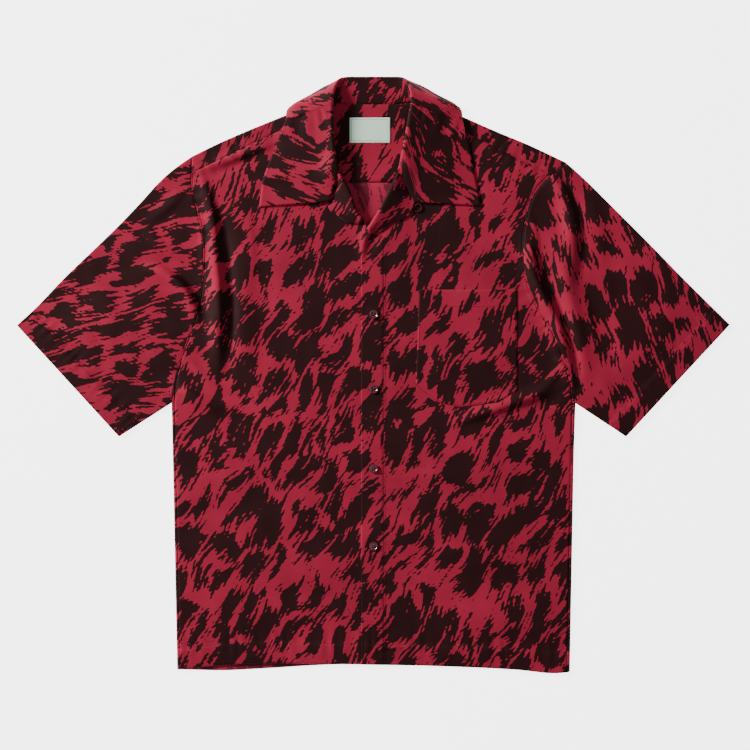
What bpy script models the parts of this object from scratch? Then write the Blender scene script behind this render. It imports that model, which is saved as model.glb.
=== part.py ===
"""A short-sleeved camp-collar shirt, buttoned and laid flat on its back.

+X points to the wearer's left, +Y from the hem to the collar, +Z up off the table.
Sizes are in millimetres and the finished meshes in metres. The origin is the middle
of the laid-out shirt, on the table. Every cloth piece is a wall: a grid of points on
its inner side, which follows one height field, thickened away from the body's hollow.
"""

import math
from collections import namedtuple

import bpy
import numpy as np

MM = 0.001

# ---- driving sizes, in millimetres ----
CLOTH = 1.0            # one layer of the shirt's cloth
COLLAR_CLOTH = 1.5     # two layers and their interlining
TRIM = 0.8             # label and pocket
GAP = 0.3              # between neighbouring pieces
SEAM = 0.9             # between pieces that a curved seam joins, in plan
SLEEVE_SEAM = 1.3      # the same at the armhole, measured along the sleeve
LOFT = 3.0             # inner side of the upper layer above the table
UNDERLAY = 1.8         # how far the collar's fall lifts the back of the neck
WRAP = 1.3             # what the closed placket adds to the upper front
CURL = 2.6             # width over which a front's side edge curls down
TROUGH = 0.6           # a crease's trough is no deeper than this below the loft
LAPEL_RISE = 5.0       # how far a front climbs to its lapel's roll, at the top
LAPEL_RISE_LOSS = 0.85 # share of that climb lost by the roll's low end
LAPEL_RISE_REACH = 18.0
CROWN = 13.5           # height of the roll's inner side where collar and lapel meet
LAPEL_DROP = 5.0       # how much lower the lapel's roll is at its low end
ROLL_WIDTH = 2.2       # from the roll's crown to where the leaf starts
ROLL_DEPTH = 4.0       # length of the stand just below the roll
LEAF_REST = 0.7        # between a leaf and the front that it rests on
BUTTON_X = 0.5
BUTTON_ROWS = (80.2, -19.2, -124.6, -227.7)
BUTTON_RADIUS = 6.0
BUTTON_THICK = 2.6
BUTTON_HOLE = 0.85     # radius of a thread hole
BUTTON_HOLE_OUT = 1.5  # thread hole's centre from the button's, along x and y
BACK_SEAM_Y = 256.0    # back panel to yoke, straight across
NECK_SEAM_Y = 358.8    # back neck seam at the centre
NECK_CORNER_Y = 366.0  # where the neck seam meets the shoulder fold
LABEL = dict(left=-31.5, right=22.1, low=308.3, high=341.3)
RIGHT = "right"
LEFT = "left"
FACING = {RIGHT: -1.0, LEFT: 1.0}  # the side's direction along X

# ---- plan outlines: rows of x, y from the photograph's outline ----
SIDE_SEAM = {
    RIGHT: [(-260.5, -391.3), (-264.5, -193.1), (-266.5, -100.0), (-268.0, -37.0)],
    LEFT: [(260.9, -394.6), (264.7, -193.1), (266.5, -100.0), (268.5, -37.5)],
}
ARMHOLE = {  # armpit up to the forward yoke seam
    RIGHT: [(-268.0, -37.0), (-264.0, -8.0), (-254.0, 28.0), (-241.0, 64.0), (-231.0, 102.0),
            (-226.0, 142.0), (-227.0, 184.0), (-233.5, 216.0), (-242.0, 256.0), (-241.5, 268.0)],
    LEFT: [(268.5, -37.5), (264.0, -12.0), (254.0, 20.0), (238.0, 58.0), (217.0, 94.0),
           (204.0, 128.0), (199.0, 166.0), (203.0, 204.0), (212.0, 236.0), (226.0, 256.0),
           (236.3, 265.0)],
}
SHOULDER_POINT = {RIGHT: (-240.5, 290.5), LEFT: (256.0, 282.0)}
SHOULDER = {  # the fold along the shoulder, neck outwards
    RIGHT: [(-62.0, 366.0), (-110.9, 346.9), (-164.1, 325.6), (-205.3, 307.6), (-240.5, 290.5)],
    LEFT: [(58.3, 366.0), (115.2, 344.2), (164.5, 322.9), (204.0, 306.6), (256.0, 282.0)],
}
YOKE_SEAM = {  # the forward seam, neck outwards
    RIGHT: [(-61.5, 349.0), (-124.2, 324.3), (-177.4, 299.0), (-241.5, 268.0)],
    LEFT: [(57.8, 349.0), (115.0, 325.0), (169.8, 299.0), (208.3, 277.7), (236.3, 265.0)],
}
SLEEVE_FOLD = {  # shoulder point to the cuff
    RIGHT: [(-240.5, 290.5), (-262.5, 275.0), (-279.8, 260.4), (-307.7, 230.2), (-335.6, 201.0),
            (-376.3, 161.6), (-406.9, 132.3), (-455.3, 82.7), (-473.5, 66.2)],
    LEFT: [(256.0, 282.0), (282.0, 258.7), (310.8, 230.2), (364.0, 176.9), (415.0, 124.8),
           (473.5, 66.9)],
}
UNDERARM = {
    RIGHT: [(-268.0, -37.0), (-337.6, -82.1)],
    LEFT: [(268.5, -37.5), (335.4, -82.1)],
}
FRONT_HEM = {  # placket to side seam
    RIGHT: [(13.8, -385.0), (-57.7, -384.0), (-148.0, -382.8), (-193.0, -384.6), (-260.5, -391.3)],
    LEFT: [(-15.8, -384.6), (88.6, -386.9), (191.0, -391.7), (247.0, -396.1), (260.9, -394.6)],
}
BACK_HEM = [(-260.5, -391.3), (-193.0, -392.5), (-148.0, -390.2), (-57.7, -385.0),
            (60.0, -384.5), (160.0, -388.0), (260.9, -394.6)]
FRONT_EDGE = {  # free edge, then along the lapel's roll and the neck seam
    RIGHT: [(13.8, -385.0), (13.8, 90.0), (13.8, 120.0), (11.0, 165.0), (0.0, 190.0), (-14.0, 206.0),
            (-26.0, 220.0), (-35.0, 244.0), (-50.5, 271.0), (-59.0, 302.0), (-61.5, 330.0),
            (-61.5, 349.0)],
    LEFT: [(-15.8, -384.6), (-15.8, 150.0), (-15.8, 172.0), (-12.0, 188.0), (0.0, 202.0), (8.0, 213.0),
           (22.5, 238.0), (39.0, 272.0), (50.5, 317.0), (54.5, 340.0), (57.8, 349.0)],
}
LAPEL_ROLL = {
    RIGHT: [(-46.5, 269.5), (-31.1, 241.0), (-22.5, 216.5), (-13.0, 204.5)],
    LEFT: [(34.0, 271.0), (18.2, 236.5), (4.0, 211.0), (-8.0, 193.0)],
}
LAPEL_EDGE = {  # gorge, notch, corner and lower edge, top downwards
    RIGHT: [(-47.5, 269.5), (-52.6, 248.0), (-58.6, 229.4), (-58.3, 219.8), (-49.7, 213.9),
            (-33.7, 202.2), (-16.5, 201.0)],
    LEFT: [(35.0, 271.0), (44.4, 248.0), (54.2, 229.0), (52.1, 217.2), (39.4, 207.2),
           (22.1, 200.6), (15.5, 193.9), (-5.0, 187.0)],
}
COLLAR_ROLL = {  # shoulder to gorge
    RIGHT: [(-54.0, 360.0), (-54.0, 340.0), (-52.0, 302.0), (-46.5, 270.5)],
    LEFT: [(50.8, 360.0), (47.0, 340.0), (43.0, 317.0), (34.0, 272.0)],
}
COLLAR_EDGE = {  # shoulder to the leaf's tip
    RIGHT: [(-115.5, 338.0), (-123.5, 317.6), (-133.5, 292.3), (-144.9, 263.0), (-151.4, 223.2)],
    LEFT: [(117.8, 338.0), (125.9, 305.6), (135.2, 259.0), (142.5, 224.5)],
}
COLLAR_NOTCH = {RIGHT: (-59.4, 230.5), LEFT: (55.0, 230.0)}
GORGE_MIDDLE = {RIGHT: (-53.0, 249.0), LEFT: (45.0, 249.0)}
POCKET = dict(left_top=61.4, left_low=56.5, right=190.7, top=112.8)
POCKET_BOTTOM = [(56.5, -17.6), (82.0, -35.5), (116.6, -42.8), (165.8, -36.2), (190.4, -20.2)]

# ---- the collar's sections from the centre back to the shoulder, on the right side ----
# neck: the seam. roll: the crown of the roll. turn_z: height just past the crown.
# bend: where the leaf turns under. under: just past that. edge: the leaf's outer edge.
Section = namedtuple(
    "Section",
    "neck_x neck_y neck_z roll_x roll_y roll_z turn_z "
    "bend_x bend_y bend_z under_x under_y under_z edge_x edge_y edge_z",
)
COLLAR_SECTIONS = [
    Section(0, 359.4, 2.2, 0, 394.5, 4.6, 2.6, 0, 391.5, 1.6, 0, 388.0, 1.5, 0, 331.0, 1.5),
    Section(-20, 359.4, 2.2, -20, 394.5, 4.6, 2.6, -20, 391.5, 1.6, -21, 388, 1.5, -23, 331, 1.5),
    Section(-37, 360.4, 2.3, -37, 394.2, 5.2, 3.2, -39, 390.5, 1.6, -42, 386, 1.5, -46, 331, 1.5),
    Section(-50, 363.0, 2.8, -45.5, 391, 8.0, 7.0, -62, 382.8, 3.4, -64, 377, 1.5, -66, 332, 1.5),
    Section(-58, 365.9, 4.2, -50.0, 384, 12.2, 12.0, -83, 370.8, 4.6, -85, 366, 1.5, -84, 334, 1.5),
    Section(-60.8, 362, 5.2, -52.0, 378, 14.8, 14.8, -99, 362.5, 5.4, -101, 359, 1.5, -98, 339, 1.5),
    Section(-60.8, 359, 5.2, -53.0, 372, 16.2, 16.6, -104, 359, 7.0, -109, 355.5, 3.0,
            -108.6, 350.8, 1.5),
    Section(-60.8, 355, 5.2, -53.6, 366, 16.9, 17.6, -103, 355.5, 9.4, -111, 352.5, 6.2,
            -114.2, 350.0, 4.0),
    Section(-60.8, 350, 5.2, -54.0, 360, 17.2, 18.2, -90, 347.0, 13.6, -103, 342.0, 11.2,
            -115.5, 338.0, 9.0),
]
MIRROR_NECK = 0.94   # the left side's neck and roll are this much nearer the middle
MIRROR_EDGE = 1.02   # and its outer edge this much further out
STAND_LEAN = 6.6     # the collar's seam lies this far outside its roll at the shoulder
LEAN_LOSS = 3.4      # and this much less at the gorge
COLLAR_SIDE_ROWS = 9
COLLAR_LEAF_STEPS = 8
LOOP_RADIUS = 0.9
LOOP_SIDES = 8
LOOP = [(55.2, 224.4), (58.6, 226.4), (62.6, 225.2), (64.2, 221.4), (62.0, 217.6),
        (58.2, 216.6), (55.0, 217.6)]

# ---- how finely the panels are divided ----
FRONT_COLUMNS = 18
FRONT_ARMHOLE_STEPS = 13
BACK_COLUMNS = 11
BACK_ARMHOLE_STEPS = 8
SIDE_STEPS = 15
BACK_SIDE_STEPS = 7
FRONT_ARMPIT = 0.53    # share of a front's height at which its armhole starts
BACK_ARMPIT = 0.61     # the same on the back, which ends lower
SLEEVE_ROWS = 13

# ---- creases: a soft ridge or trough along a curve of three spots ----
Crease = namedtuple("Crease", "x1 y1 x2 y2 x3 y3 width height")
CREASES = [
    # wearer's right: the long fold beside the armhole, then the sleeve's wrinkles
    Crease(-222, 256, -213, 150, -214, 40, 13, 5.5),
    Crease(-207, 240, -197, 130, -199, 0, 9, -1.2),
    Crease(-188, 214, -178, 110, -182, 10, 17, 2.2),
    Crease(-140, 303, -180, 288, -222, 272, 9, 2.2),
    Crease(-297, 142, -262, 122, -240, 84, 10, 4.0),
    Crease(-290, 166, -252, 134, -226, 92, 7, -1.2),
    Crease(-256, 240, -274, 222, -296, 206, 9, 1.8),
    Crease(-262, -22, -236, -44, -206, -58, 11, 2.4),
    Crease(-225, -88, -184, -98, -120, -106, 14, 1.4),
    # wearer's left: the deep fold down to the armpit and its neighbours
    Crease(243, 176, 258, 100, 280, 8, 13, 5.5),
    Crease(224, 150, 247, 82, 268, -6, 8, -1.2),
    Crease(209, 128, 228, 80, 250, 20, 11, 2.2),
    Crease(246, 252, 260, 204, 262, 146, 11, 3.6),
    Crease(258, 262, 274, 206, 277, 140, 7, -1.0),
    Crease(232, -40, 186, -62, 120, -84, 11, 2.2),
    Crease(330, 150, 356, 110, 372, 60, 16, 1.8),
]
Swell = namedtuple("Swell", "x y reach_x reach_y height")
SWELLS = [
    Swell(-130, -190, 90, 150, 1.0),
    Swell(125, -190, 95, 150, 1.0),
    Swell(-95, 60, 70, 110, 0.8),
    Swell(120, 60, 80, 100, 0.8),
    Swell(-355, 30, 60, 60, 1.0),
    Swell(355, 30, 60, 60, 1.0),
]

# ---- colours: red, green, blue, roughness ----
PRINT = (0.20, 0.016, 0.032, 0.75)
INSIDE_PRINT = (0.16, 0.015, 0.028, 0.78)
MINT = (0.60, 0.86, 0.72, 0.7)
BUTTON_COLOUR = (0.06, 0.012, 0.016, 0.25)


# ---- small helpers ----
def ramp(value, low, high):
    """0 below low, 1 above high, and a soft step between them."""
    share = np.clip((np.asarray(value, float) - low) / (high - low), 0.0, 1.0)
    return share * share * (3.0 - 2.0 * share)


def smooth_curve(spots):
    """A smooth curve through the spots, as a function of the share of its length."""
    spots = np.asarray(spots, float)
    step = np.linalg.norm(np.diff(spots, axis=0), axis=1)
    place = np.concatenate([[0.0], np.cumsum(step)]) / step.sum()
    slope = np.diff(spots, axis=0) / np.diff(place)[:, None]
    tangent = np.vstack([slope[:1], slope[:1], slope[1:]])[: len(spots)]
    for i in range(1, len(spots) - 1):
        before, after = place[i] - place[i - 1], place[i + 1] - place[i]
        tangent[i] = (slope[i - 1] * after + slope[i] * before) / (before + after)
    tangent[-1] = slope[-1]

    def at(share):
        share = np.clip(np.atleast_1d(np.asarray(share, float)), 0.0, 1.0)
        i = np.clip(np.searchsorted(place, share, side="right") - 1, 0, len(place) - 2)
        width = place[i + 1] - place[i]
        t = ((share - place[i]) / width)[:, None]
        width = width[:, None]
        return (
            (2 * t**3 - 3 * t**2 + 1) * spots[i]
            + (t**3 - 2 * t**2 + t) * width * tangent[i]
            + (3 * t**2 - 2 * t**3) * spots[i + 1]
            + (t**3 - t**2) * width * tangent[i + 1]
        )

    return at


def straight_steps(spots, count):
    """Points on the straight lines between spots, count to a line, with their shares."""
    spots = np.asarray(spots, float)
    step = np.linalg.norm(np.diff(spots, axis=0), axis=1)
    place = np.concatenate([[0.0], np.cumsum(step)]) / step.sum()
    whole = np.arange(len(spots))
    fine = np.linspace(0, len(spots) - 1, (len(spots) - 1) * count + 1)
    points = np.stack([np.interp(fine, whole, spots[:, k]) for k in range(2)], axis=1)
    return np.interp(fine, whole, place), points


def share_at(curve, axis, value):
    """The share of the curve's length at which one coordinate reaches a value."""
    shares = np.linspace(0.0, 1.0, 2001)
    return float(shares[np.argmin(np.abs(curve(shares)[:, axis] - value))])


def crossed(low, high, start, end, across, along):
    """A patch between four edge curves: grid points for shares across and along.

    low and high run across, start and end run along. Each is sampled at the shares.
    """
    u = np.asarray(across, float)[None, :, None]
    v = np.asarray(along, float)[:, None, None]
    ruled = (1 - v) * low[None] + v * high[None] + (1 - u) * start[:, None] + u * end[:, None]
    corners = (
        (1 - u) * (1 - v) * low[0] + u * (1 - v) * low[-1]
        + (1 - u) * v * high[0] + u * v * high[-1]
    )
    return ruled - corners


def lift(x, y):
    """How far the collar's hidden fall raises the cloth that lies on it."""
    return UNDERLAY * ramp(y, 285.0, 318.0) * (1.0 - ramp(np.abs(x), 116.0, 140.0))


def crease_height(crease, x, y):
    """A ridge's height at x, y: round across and fading out at both ends."""
    t = np.linspace(0.0, 1.0, 25)[:, None, None]
    mid_x = 2 * crease.x2 - (crease.x1 + crease.x3) / 2
    mid_y = 2 * crease.y2 - (crease.y1 + crease.y3) / 2
    along_x = (1 - t) ** 2 * crease.x1 + 2 * t * (1 - t) * mid_x + t**2 * crease.x3
    along_y = (1 - t) ** 2 * crease.y1 + 2 * t * (1 - t) * mid_y + t**2 * crease.y3
    fade = np.sin(np.pi * (0.04 + 0.92 * t)) ** 0.7
    away = (x[None] - along_x) ** 2 + (y[None] - along_y) ** 2
    return crease.height * (np.exp(-away / crease.width**2) * fade).max(axis=0)


def loft(x, y):
    """Inner side of the upper layer above the table, at arrays of x and y."""
    shape = np.shape(x)
    x = np.atleast_2d(np.asarray(x, float))
    y = np.atleast_2d(np.asarray(y, float))
    height = np.full(x.shape, LOFT)
    for swell in SWELLS:
        away = ((x - swell.x) / swell.reach_x) ** 2 + ((y - swell.y) / swell.reach_y) ** 2
        height += swell.height * np.exp(-away)
    for crease in CREASES:
        height += crease_height(crease, x, y)
    return (np.maximum(height, LOFT - TROUGH) + lift(x, y)).reshape(shape)


def neck_rise(x, y):
    """The fronts climb this much towards the lapel's roll, so that they carry it."""
    x = np.asarray(x, float)
    rise = np.zeros(x.shape)
    for side in (RIGHT, LEFT):
        same_side = ramp(x * FACING[side], -14.0, 6.0)
        for share in np.linspace(0.0, 1.0, 15):
            spot = smooth_curve(LAPEL_ROLL[side])(share)[0]
            away = ((x - spot[0]) ** 2 + (y - spot[1]) ** 2) / LAPEL_RISE_REACH**2
            climb = LAPEL_RISE * (1.0 - LAPEL_RISE_LOSS * share)
            rise = np.maximum(rise, climb * np.exp(-away) * same_side)
    return rise


def front_loft(side, x, y):
    """Inner side of a front panel. The wearer's left front lies on the right one."""
    height = loft(x, y) + neck_rise(x, y)
    if side == LEFT:
        height = height + WRAP * (1.0 - ramp(x, 16.0, 60.0)) * (1.0 - ramp(y, 200.0, 260.0))
    return height


def front_top(side, x, y):
    """Outer side of a front panel."""
    return front_loft(side, x, y) + CLOTH


# ---- meshes ----
def finish(name, colour, vertices, faces, smooth=True):
    """Makes the object, turns its faces outwards and gives it its own material."""
    mesh = bpy.data.meshes.new(name)
    mesh.from_pydata([tuple(v * MM for v in spot) for spot in vertices], [], faces)
    mesh.update()
    volume = 0.0
    for face in mesh.polygons:
        spots = [mesh.vertices[i].co for i in face.vertices]
        for a, b in zip(spots[1:-1], spots[2:]):
            volume += spots[0].dot(a.cross(b))
    if volume < 0:
        mesh.flip_normals()
    if smooth:
        mesh.shade_smooth()
        mesh.set_sharp_from_angle(angle=math.radians(50))
    material = bpy.data.materials.new(name)
    material.use_nodes = True
    shader = material.node_tree.nodes["Principled BSDF"]
    shader.inputs["Base Color"].default_value = (*colour[:3], 1.0)
    shader.inputs["Roughness"].default_value = colour[3]
    shader.inputs["Metallic"].default_value = 0.0
    mesh.materials.append(material)
    thing = bpy.data.objects.new(name, mesh)
    bpy.context.scene.collection.objects.link(thing)
    return thing


def cloth_wall(name, colour, points, thickness, outward=1.0, ring=False, keep=None):
    """A closed wall: the grid's points and the same points moved out by the thickness.

    points is rows by columns by 3. ring joins each row's last point to its first.
    keep says which cells of the grid are cloth.
    """
    rows, columns = points.shape[:2]
    cells_wide = columns if ring else columns - 1
    if keep is None:
        keep = np.ones((rows - 1, cells_wide), bool)

    def index(row, column):
        return row * columns + column % columns

    cells = []
    for row in range(rows - 1):
        for column in range(cells_wide):
            if keep[row, column]:
                cells.append((index(row, column), index(row, column + 1),
                              index(row + 1, column + 1), index(row + 1, column)))
    flat = points.reshape(-1, 3)
    normal = np.zeros_like(flat)
    for a, b, c, d in cells:
        across = np.cross(flat[c] - flat[a], flat[d] - flat[b])
        across /= max(np.linalg.norm(across), 1e-9)
        for corner in (a, b, c, d):
            normal[corner] += across
    length = np.linalg.norm(normal, axis=1)
    used = np.flatnonzero(length > 1e-9)
    normal[used] /= length[used, None]
    number = {int(old): new for new, old in enumerate(used)}
    count = len(used)
    vertices = [*flat[used], *(flat[used] + outward * thickness * normal[used])]
    edges = {}
    faces = []
    for cell in cells:
        a, b, c, d = (number[i] for i in cell)
        faces.append((d, c, b, a))
        faces.append((a + count, b + count, c + count, d + count))
        for first, second in ((a, b), (b, c), (c, d), (d, a)):
            if (second, first) in edges:
                del edges[(second, first)]
            else:
                edges[(first, second)] = True
    for first, second in edges:
        faces.append((first, second, second + count, first + count))
    return finish(name, colour, vertices, faces)


def with_height(plan, height):
    """Adds a height column to plan points."""
    return np.concatenate([plan, np.asarray(height, float)[..., None]], axis=-1)


# ---- armhole, shared by the panels and the sleeves ----
def armhole_curve(side):
    return smooth_curve(ARMHOLE[side])


def back_share(side):
    """Share of the armhole at which the back panel meets the yoke."""
    return share_at(armhole_curve(side), 1, BACK_SEAM_Y)


def front_panel(side):
    """One front: hem, side seam, armhole, forward yoke seam, neck and free edge."""
    out = FACING[side]
    along = np.concatenate([
        np.linspace(0.0, FRONT_ARMPIT, SIDE_STEPS + 1),
        np.linspace(FRONT_ARMPIT, 1.0, FRONT_ARMHOLE_STEPS + 1)[1:],
    ])
    across = np.linspace(0.0, 1.0, FRONT_COLUMNS)
    side_part, arm_part = along[: SIDE_STEPS + 1], along[SIDE_STEPS + 1:]
    seam = smooth_curve(SIDE_SEAM[side])(side_part / FRONT_ARMPIT)
    arm = armhole_curve(side)((arm_part - FRONT_ARMPIT) / (1.0 - FRONT_ARMPIT))
    outer = np.vstack([seam, arm])
    outer[:, 0] -= out * CLOTH * (1.0 - ramp(outer[:, 1], -37.0, -8.0))
    top = smooth_curve(YOKE_SEAM[side])(across) - np.array([0.0, SEAM])
    inner = smooth_curve(FRONT_EDGE[side])(along)
    inner[-1] = top[0]
    outer[-1] = top[-1]
    hem = smooth_curve(FRONT_HEM[side])(across)
    hem[-1, 0] = outer[0, 0]
    plan = crossed(hem, top, inner, outer, across, along)
    inward = plan[:, -2] - outer
    inward /= np.linalg.norm(inward, axis=1)[:, None]
    curl_columns = [outer + inward * CURL * share for share in (1.0, 0.45, 0.13, 0.0)]
    plan = np.concatenate([plan[:, :-1], np.stack(curl_columns, axis=1)], axis=1)
    x, y = plan[..., 0], plan[..., 1]
    height = front_loft(side, x, y)
    # Below the armpit the edge curls down to the back panel, as the side seam does.
    edge_x = outer[:, 0][:, None]
    away = np.clip(np.abs(edge_x - x) / CURL, 0.0, 1.0)
    round_edge = np.sqrt(np.clip(1.0 - (1.0 - away) ** 2, 0.0, 1.0))
    seam_height = CLOTH + 2 * GAP
    curl = 1.0 - ramp(y, -60.0, -30.0)
    curled = seam_height + (height - seam_height) * round_edge
    height = height * (1.0 - curl) + curled * curl
    return cloth_wall("front_" + side, PRINT, with_height(plan, height), CLOTH, outward=out)


def back_panel():
    """The back, flat on the table from the hem to the straight yoke seam."""
    along = np.concatenate([
        np.linspace(0.0, BACK_ARMPIT, BACK_SIDE_STEPS + 1),
        np.linspace(BACK_ARMPIT, 1.0, BACK_ARMHOLE_STEPS + 1)[1:],
    ])
    across = np.linspace(0.0, 1.0, BACK_COLUMNS)
    side_part, arm_part = along[: BACK_SIDE_STEPS + 1], along[BACK_SIDE_STEPS + 1:]
    sides = []
    for side in (RIGHT, LEFT):
        seam = smooth_curve(SIDE_SEAM[side])(side_part / BACK_ARMPIT)
        shares = (arm_part - BACK_ARMPIT) / (1.0 - BACK_ARMPIT) * back_share(side)
        sides.append(np.vstack([seam, armhole_curve(side)(shares)]))
    hem = smooth_curve(BACK_HEM)(across)
    top = np.linspace(sides[0][-1], sides[1][-1], len(across))
    top[:, 1] = BACK_SEAM_Y
    sides[0][-1] = top[0]
    sides[1][-1] = top[-1]
    plan = crossed(hem, top, sides[0], sides[1], across, along)
    height = np.full(plan.shape[:2], CLOTH)
    return cloth_wall("back_panel", INSIDE_PRINT, with_height(plan, height), CLOTH, outward=-1.0)


def yoke_columns(side, count):
    """The yoke's columns on one side, neck outwards: back seam, shoulder and forward seam."""
    shares = np.linspace(0.0, 1.0, count)
    shoulder = smooth_curve(SHOULDER[side])(shares)
    forward = smooth_curve(YOKE_SEAM[side])(shares)
    neck_x = SHOULDER[side][0][0]
    end_x = armhole_curve(side)(back_share(side))[0, 0]
    base = np.stack([np.linspace(neck_x, end_x, count), np.full(count, BACK_SEAM_Y + SEAM)], 1)
    return base, shoulder, forward


def neck_seam(x):
    """The back neck seam rises a little towards the shoulders."""
    share = np.where(x < 0, x / SHOULDER[RIGHT][0][0], x / SHOULDER[LEFT][0][0])
    return NECK_SEAM_Y + (NECK_CORNER_Y - 2.0 * CLOTH - NECK_SEAM_Y) * share**4


def yoke_grid(sink):
    """The yoke's inner side, moved into the hollow by sink: rows run from back to front."""
    flat_rows, fold_rows, front_rows = 6, 5, 3
    columns = []
    keep_front = []
    middle_x = np.linspace(SHOULDER[RIGHT][0][0], SHOULDER[LEFT][0][0], 8)[1:-1]
    sides = {side: yoke_columns(side, 9) for side in (RIGHT, LEFT)}

    def side_column(base, shoulder, forward):
        toward = shoulder - base
        toward = toward / np.linalg.norm(toward)
        low = lift(*shoulder) + CLOTH + sink
        high = float(loft(*shoulder)) - sink
        radius = (high - low) / 2.0
        centre = shoulder - toward * (CLOTH + sink + radius)
        column = []
        for share in np.linspace(0.0, 1.0, flat_rows):
            spot = base + share * (centre - base)
            column.append((*spot, lift(*spot) + CLOTH + sink))
        for turn in np.linspace(-90.0, 90.0, fold_rows + 1)[1:]:
            spot = centre + toward * radius * math.cos(math.radians(turn))
            column.append((*spot, (high + low) / 2 + radius * math.sin(math.radians(turn))))
        for share in np.linspace(0.0, 1.0, front_rows + 1)[1:]:
            spot = centre + share * (forward - centre)
            column.append((*spot, float(loft(*spot)) - sink))
        return column

    for base, shoulder, forward in list(zip(*sides[RIGHT]))[::-1]:
        columns.append(side_column(base, shoulder, forward))
        keep_front.append(True)
    keep_front[-1] = False
    for x in middle_x:
        column = []
        for share in np.linspace(0.0, 1.0, flat_rows):
            y = BACK_SEAM_Y + SEAM + share * (neck_seam(x) - BACK_SEAM_Y - SEAM)
            column.append((x, y, lift(x, y) + CLOTH + sink))
        columns.append(column + [column[-1]] * (fold_rows + front_rows))
        keep_front.append(False)
    for base, shoulder, forward in zip(*sides[LEFT]):
        columns.append(side_column(base, shoulder, forward))
        keep_front.append(True)
    points = np.array(columns).transpose(1, 0, 2)
    keep = np.ones((points.shape[0] - 1, points.shape[1] - 1), bool)
    keep[flat_rows - 1:, :] = np.array(keep_front[:-1])[None, :]
    return points, keep, flat_rows


def yoke():
    """The outer yoke: flat across the back, folded over both shoulders to the front."""
    points, keep, _ = yoke_grid(0.0)
    return cloth_wall("yoke", PRINT, points, CLOTH, outward=-1.0, keep=keep)


def yoke_facing():
    """The inner yoke, on the outer one's back part. It shows inside the neck."""
    points, _, flat_rows = yoke_grid(GAP)
    points = points[:flat_rows]
    return cloth_wall("yoke_facing", INSIDE_PRINT, points, CLOTH, outward=1.0)


def sleeve(side):
    """A sleeve: a flat tube, open at the armhole and the cuff, laid on its underside."""
    arm_spots = armhole_curve(side)
    length_arm = whole_share(side)
    fold = smooth_curve(SLEEVE_FOLD[side])
    under = smooth_curve(UNDERARM[side])
    cuff = smooth_curve([UNDERARM[side][-1], SLEEVE_FOLD[side][-1]])
    lengthwise = np.linspace(0.0, 1.0, SLEEVE_ROWS) ** 0.92  # closer towards the cuff
    under_length = np.linalg.norm(under(0.0) - under(1.0))
    fold_length = np.linalg.norm(fold(0.0) - fold(1.0))

    def armhole_at(share):
        """Armpit to shoulder point. The first part is the panels' own curve."""
        share = np.atleast_1d(share)
        arm = arm_spots(np.clip(share / length_arm, 0.0, 1.0))
        last = arm_spots(1.0)[0]
        rest = np.clip((share - length_arm) / (1.0 - length_arm), 0.0, 1.0)[:, None]
        straight = last + rest * (np.array(SHOULDER_POINT[side]) - last)
        return np.where(share[:, None] <= length_arm, arm, straight)

    back_part = back_share(side) * length_arm
    lower = np.concatenate([
        np.linspace(0.0, back_part, BACK_ARMHOLE_STEPS + 1),
        [(1.0 + back_part) / 2.0, 1.0],
    ])
    upper = np.concatenate([
        np.linspace(0.0, length_arm, FRONT_ARMHOLE_STEPS + 1),
        [(1.0 + length_arm) / 2.0, 1.0],
    ])

    points = []
    for u in lengthwise:
        corner = np.array([0.0, 1.0])
        arm_ends, cuff_ends = armhole_at(corner), cuff(corner)

        def spot(shares):
            """Plan points of this row, for shares from the underarm to the shoulder fold."""
            shares = np.atleast_1d(shares)
            s = shares[:, None]
            length = under_length + (fold_length - under_length) * s
            t = u + (1 - u) * SLEEVE_SEAM / length
            ruled = (1 - t) * armhole_at(shares) + t * cuff(shares)
            sides = (1 - s) * under(t[:, 0]) + s * fold(t[:, 0])
            ends = (1 - s) * ((1 - t) * arm_ends[0] + t * cuff_ends[0])
            ends = ends + s * ((1 - t) * arm_ends[1] + t * cuff_ends[1])
            return ruled + sides - ends

        ring = sleeve_ring(spot, lower, upper)
        points.append(ring)
    return cloth_wall(
        "sleeve_" + side, PRINT, np.array(points), CLOTH, outward=FACING[side], ring=True
    )


def whole_share(side):
    """Share of the sleeve's armhole end that the panels' armhole curve takes."""
    spots = np.array(ARMHOLE[side] + [SHOULDER_POINT[side]], float)
    step = np.linalg.norm(np.diff(spots, axis=0), axis=1)
    return float(step[:-1].sum() / step.sum())


def sleeve_ring(spot, lower, upper):
    """One closed section of a sleeve: lower layer, shoulder fold, upper layer, underarm."""
    ends = spot(np.array([0.0, 0.02, 0.98, 1.0]))
    inward = [ends[1] - ends[0], ends[2] - ends[3]]
    inward = [v / np.linalg.norm(v) for v in inward]
    heights = [float(loft(*(ends[i] + inward[k] * 4.0))) for k, i in enumerate((0, 3))]
    radii = [(h - CLOTH) / 2.0 for h in heights]
    centres = [ends[i] + inward[k] * (CLOTH + radii[k]) for k, i in enumerate((0, 3))]
    ring = []
    plan = spot(lower)
    plan[0], plan[-1] = centres
    ring.extend((*p, CLOTH) for p in plan)
    for turn in (-45.0, 0.0, 45.0):
        out = radii[1] * math.cos(math.radians(turn))
        up = radii[1] * math.sin(math.radians(turn))
        ring.append((*(centres[1] - inward[1] * out), CLOTH + radii[1] + up))
    plan = spot(upper)
    plan[0], plan[-1] = centres
    tops = loft(plan[:, 0], plan[:, 1])
    tops[0], tops[-1] = heights
    ring.extend((*p, h) for p, h in list(zip(plan, tops))[::-1])
    for turn in (45.0, 0.0, -45.0):
        out = radii[0] * math.cos(math.radians(turn))
        up = radii[0] * math.sin(math.radians(turn))
        ring.append((*(centres[0] - inward[0] * out), CLOTH + radii[0] + up))
    return ring


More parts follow.
